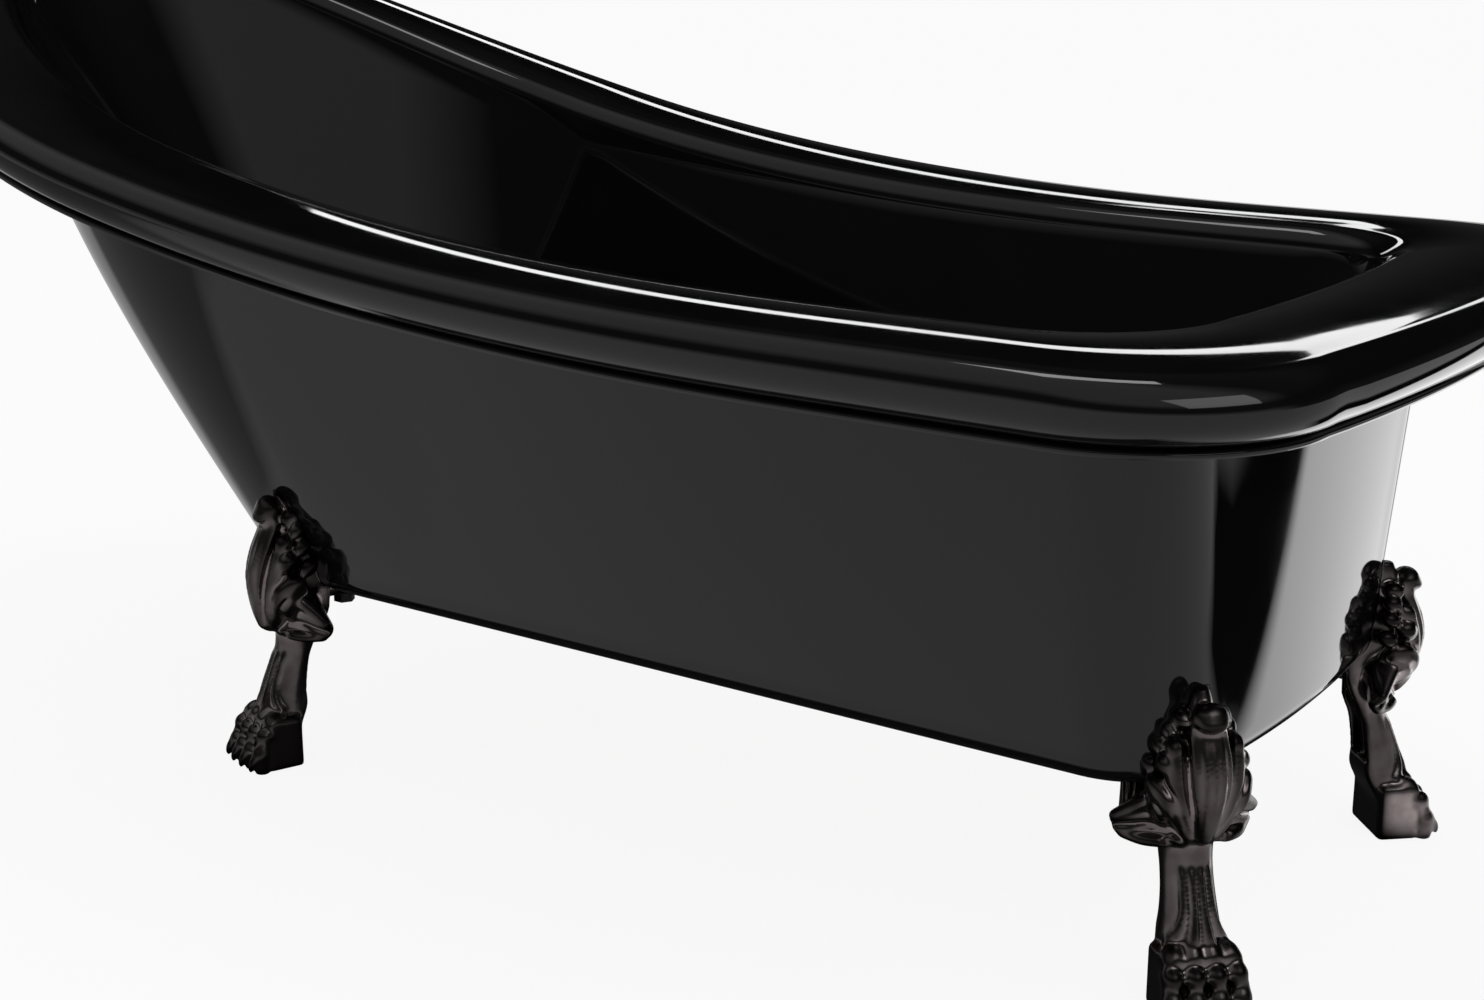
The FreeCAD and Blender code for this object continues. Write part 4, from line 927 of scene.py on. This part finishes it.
class FinishFittings(bpy.types.Operator):
    """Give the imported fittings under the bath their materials"""
    bl_idname = "bath.finish_fittings"
    bl_label = "Fittings"

    def execute(self, context):
        kinds = {
            "board": ["floor_board"], "rail": ["bearer_rail_left", "bearer_rail_right"],
            "zinc": ["backing_plates", "foot_nuts", "hose_clips"], "blacked": ["foot_bolts", "foot_washers"],
            "rubber": ["drain_gasket", "plug_seal", "overflow_gasket"], "hose": ["overflow_hose"],
            "brass": ["drain_locknut", "drain_body", "plug_guide", "overflow_elbow"],
            "nylon": ["leveller_pad_" + place for place in FOOT_PLACES]}
        kinds["zinc"] += ["leveller_screw_" + place for place in FOOT_PLACES]
        for kind, nodes in kinds.items():
            for node in nodes:
                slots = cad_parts[node].data.materials
                slots.clear()
                slots.append(finish(kind))
        return {"FINISHED"}


FLOOR_GLOW = 0.55

# painted reflection cards on the floor, seen only in the shine, each laid over those before it: its glow,
# then each line that bounds it, with the line's value where the card starts to fade in and where it is whole
PAINTED_REFLECTION_CARDS = (
    (0.20, ("head", 0.08, 0.22), ("y", 0.02, -0.10), ("x", -0.45, -0.60)),
    (0.00, ("end", 0.77, 0.80), ("y", 0.15, 0.30), ("end", 1.05, 0.95)),
    (2.10, ("end", 0.80, 0.77), ("x", 0.60, 0.70), ("y", 0.02, 0.15)),
    # dark card under the bath: the bath's painted shadow, as the shine sees the floor
    (0.02, ("side", 0.35, 0.30), ("x", 0.74, 0.68), ("x", -0.45, -0.38)))

# name, place, what it points at, width, height, radiance
LAMPS = (
    ("far_strip", (-0.85, 2.83, 1.40), (0.2, 0.2, 0.45), 3.4, 0.17, 2.8),
    ("overhead_box", (-0.3, 0.4, 3.4), (0.0, 0.0, 0.4), 1.6, 0.5, 4.0),
    ("end_box", (2.1, -0.75, 1.95), (0.65, -0.3, 0.45), 1.5, 1.1, 1.6))


class BuildStage(bpy.types.Operator):
    """Set the studio floor, lights and camera"""
    bl_idname = "bath.build_stage"
    bl_label = "Studio"

    def execute(self, context):
        scene = context.scene
        scene.view_settings.view_transform = "Standard"
        self.build_floor(scene)
        self.build_world(scene)
        self.build_lights(scene)
        self.build_camera(scene)
        return {"FINISHED"}

    def build_floor(self, scene):
        """White to the camera, with the bath's shadow; the shells' shine sees the painted reflection cards.
        """
        bm = bmesh.new()
        bmesh.ops.create_grid(bm, x_segments=1, y_segments=1, size=40.0)
        floor = new_object("studio_floor", mesh_of("studio_floor", bm), smooth=False)
        material, tree = new_material("matt_white_studio_floor")
        path = add_node(tree, "LightPath").outputs
        paper = add_node(tree, "BsdfDiffuse", {"Color": tuple(scene.bath_finish.floor)})
        glow = add_node(tree, "Emission", links={"Strength": self.lay_painted_reflection_cards(tree, path["Is Camera Ray"])})
        seen = add_node(tree, "Math", {"operation": "MULTIPLY", 1: 0.90}, {0: path["Is Camera Ray"]})
        share = add_node(tree, "Math", {"operation": "MAXIMUM"}, {0: seen, 1: path["Is Glossy Ray"]})
        mixed = add_node(tree, "MixShader", links={0: share, 1: paper, 2: glow})
        add_node(tree, "OutputMaterial", links={"Surface": mixed})
        floor.data.materials.append(material)

    def lay_painted_reflection_cards(self, tree, camera_ray):
        """Strength of the floor's glow: pale, with the painted reflection cards laid on it, and white to the
        camera.
        """
        place = add_node(tree, "TexCoord").outputs["Object"]
        split = add_node(tree, "SeparateXYZ", links={"Vector": place})
        x, y = split.outputs["X"], split.outputs["Y"]
        lines = {"x": x, "y": y,
                 "side": add_node(tree, "Math", {"operation": "ABSOLUTE"}, {0: y}),
                 "end": add_node(tree, "Math", {"operation": "MULTIPLY_ADD", 1: -0.34}, {0: y, 2: x}),
                 "head": add_node(tree, "Math", {"operation": "MULTIPLY_ADD", 1: -0.95}, {0: x, 2: y})}
        shine = None
        for glow, *edges in PAINTED_REFLECTION_CARDS:
            cover = None
            for line, outside, inside in edges:
                edge = add_node(tree, "MapRange", {"From Min": outside, "From Max": inside},
                                {"Value": lines[line]})
                cover = edge if cover is None else add_node(
                    tree, "Math", {"operation": "MULTIPLY"}, {0: cover, 1: edge})
            under = {} if shine is None else {2: shine}
            shine = add_node(tree, "Mix", {2: FLOOR_GLOW, 3: glow}, {0: cover, **under})
        return add_node(tree, "Mix", {3: 1.0}, {0: camera_ray, 2: shine})

    def build_world(self, scene):
        """White to the camera, soft to the floor, and mostly dark above the horizon to the shine."""
        world = bpy.data.worlds.new("studio_surround")
        scene.world = world
        world.use_nodes = True
        tree = world.node_tree
        tree.nodes.clear()
        place = add_node(tree, "TexCoord").outputs["Generated"]
        split = add_node(tree, "SeparateXYZ", links={"Vector": place})
        # light at the horizon, light overhead, and the share of both that the near side keeps
        low, high, near = (
            add_node(tree, "MapRange", {"From Min": start, "From Max": end, "To Min": first, "To Max": last},
                     {"Value": split.outputs[axis]})
            for axis, start, end, first, last in (
                ("Z", 0.0, 0.22, 0.60, 0.03), ("Z", 0.45, 0.65, 0.0, 0.35), ("Y", 0.1, 0.4, 1.0, 0.06)))
        both = add_node(tree, "Math", {"operation": "ADD"}, {0: low, 1: high})
        strength = add_node(tree, "Math", {"operation": "MULTIPLY"}, {0: both, 1: near})
        path = add_node(tree, "LightPath").outputs
        pure = (1, 1, 1, 1)
        dim = add_node(tree, "Background", {"Color": pure}, {"Strength": strength})
        soft = add_node(tree, "Background", {"Color": pure, "Strength": 0.60})
        white = add_node(tree, "Background", {"Color": pure, "Strength": 1.0})
        lit = add_node(tree, "MixShader", links={0: path["Is Glossy Ray"], 1: soft, 2: dim})
        shown = add_node(tree, "MixShader", links={0: path["Is Camera Ray"], 1: lit, 2: white})
        add_node(tree, "OutputWorld", links={"Surface": shown})

    def build_lights(self, scene):
        """Three soft boxes that the camera doesn't see."""
        for name, place, target, width, height, radiance in LAMPS:
            lamp = bpy.data.lights.new(name, "AREA")
            lamp.shape = "RECTANGLE"
            lamp.size = width
            lamp.size_y = height
            lamp.energy = radiance * math.pi * width * height
            lamp_object = bpy.data.objects.new(name, lamp)
            scene.collection.objects.link(lamp_object)
            lamp_object.location = place
            facing = Vector(target) - Vector(place)
            lamp_object.rotation_euler = facing.to_track_quat("-Z", "Y").to_euler()
            lamp_object.visible_camera = False

    def build_camera(self, scene):
        """Camera at the photograph's angle."""
        right = Vector((0.81426, 0.58050, -0.00062))
        up = Vector((-0.15353, 0.21639, 0.96416))
        ahead = Vector((-0.55983, 0.78498, -0.26533))
        camera = bpy.data.cameras.new("photo_camera")
        camera.sensor_width = 36.0
        camera.lens = 53.07
        camera.shift_x = -0.0027
        camera.shift_y = 0.0001
        seat = bpy.data.objects.new("photo_camera", camera)
        scene.collection.objects.link(seat)
        seat.matrix_world = Matrix.Translation((1.1914, -1.4484, 0.724)) @ Matrix(
            (right, up, -ahead)).transposed().to_4x4()
        scene.camera = seat


class BathPanel(bpy.types.Panel):
    """Sizes, finishes and steps of the bath"""
    bl_idname = "VIEW3D_PT_slipper_bath"
    bl_label = "Slipper bath"
    bl_space_type = "VIEW_3D"
    bl_region_type = "UI"
    bl_category = "Slipper bath"

    def draw(self, context):
        for group in (context.scene.bath_shape, context.scene.foot_shape, context.scene.bath_finish):
            box = self.layout.box()
            for name in group.__annotations__:
                box.prop(group, name)
        for step in STEPS:
            self.layout.operator(step.bl_idname)


STEPS = (BuildBasin, BuildSkin, BuildFeet, BuildWaste, FinishFittings, BuildStage)
GROUPS = (BathShape, FootShape, BathFinish)


def register():
    """Register the classes and the sizes that they read."""
    for item in GROUPS + STEPS + (BathPanel,):
        bpy.utils.register_class(item)
    bpy.types.Scene.bath_shape = PointerProperty(type=BathShape)
    bpy.types.Scene.foot_shape = PointerProperty(type=FootShape)
    bpy.types.Scene.bath_finish = PointerProperty(type=BathFinish)


def unregister():
    """Remove the sizes and the classes."""
    del bpy.types.Scene.bath_finish
    del bpy.types.Scene.foot_shape
    del bpy.types.Scene.bath_shape
    for item in reversed(GROUPS + STEPS + (BathPanel,)):
        bpy.utils.unregister_class(item)


def main():
    """Build everything in order."""
    register()
    for step in STEPS:
        section, name = step.bl_idname.split(".")
        getattr(getattr(bpy.ops, section), name)()


if __name__ == "__main__":
    main()
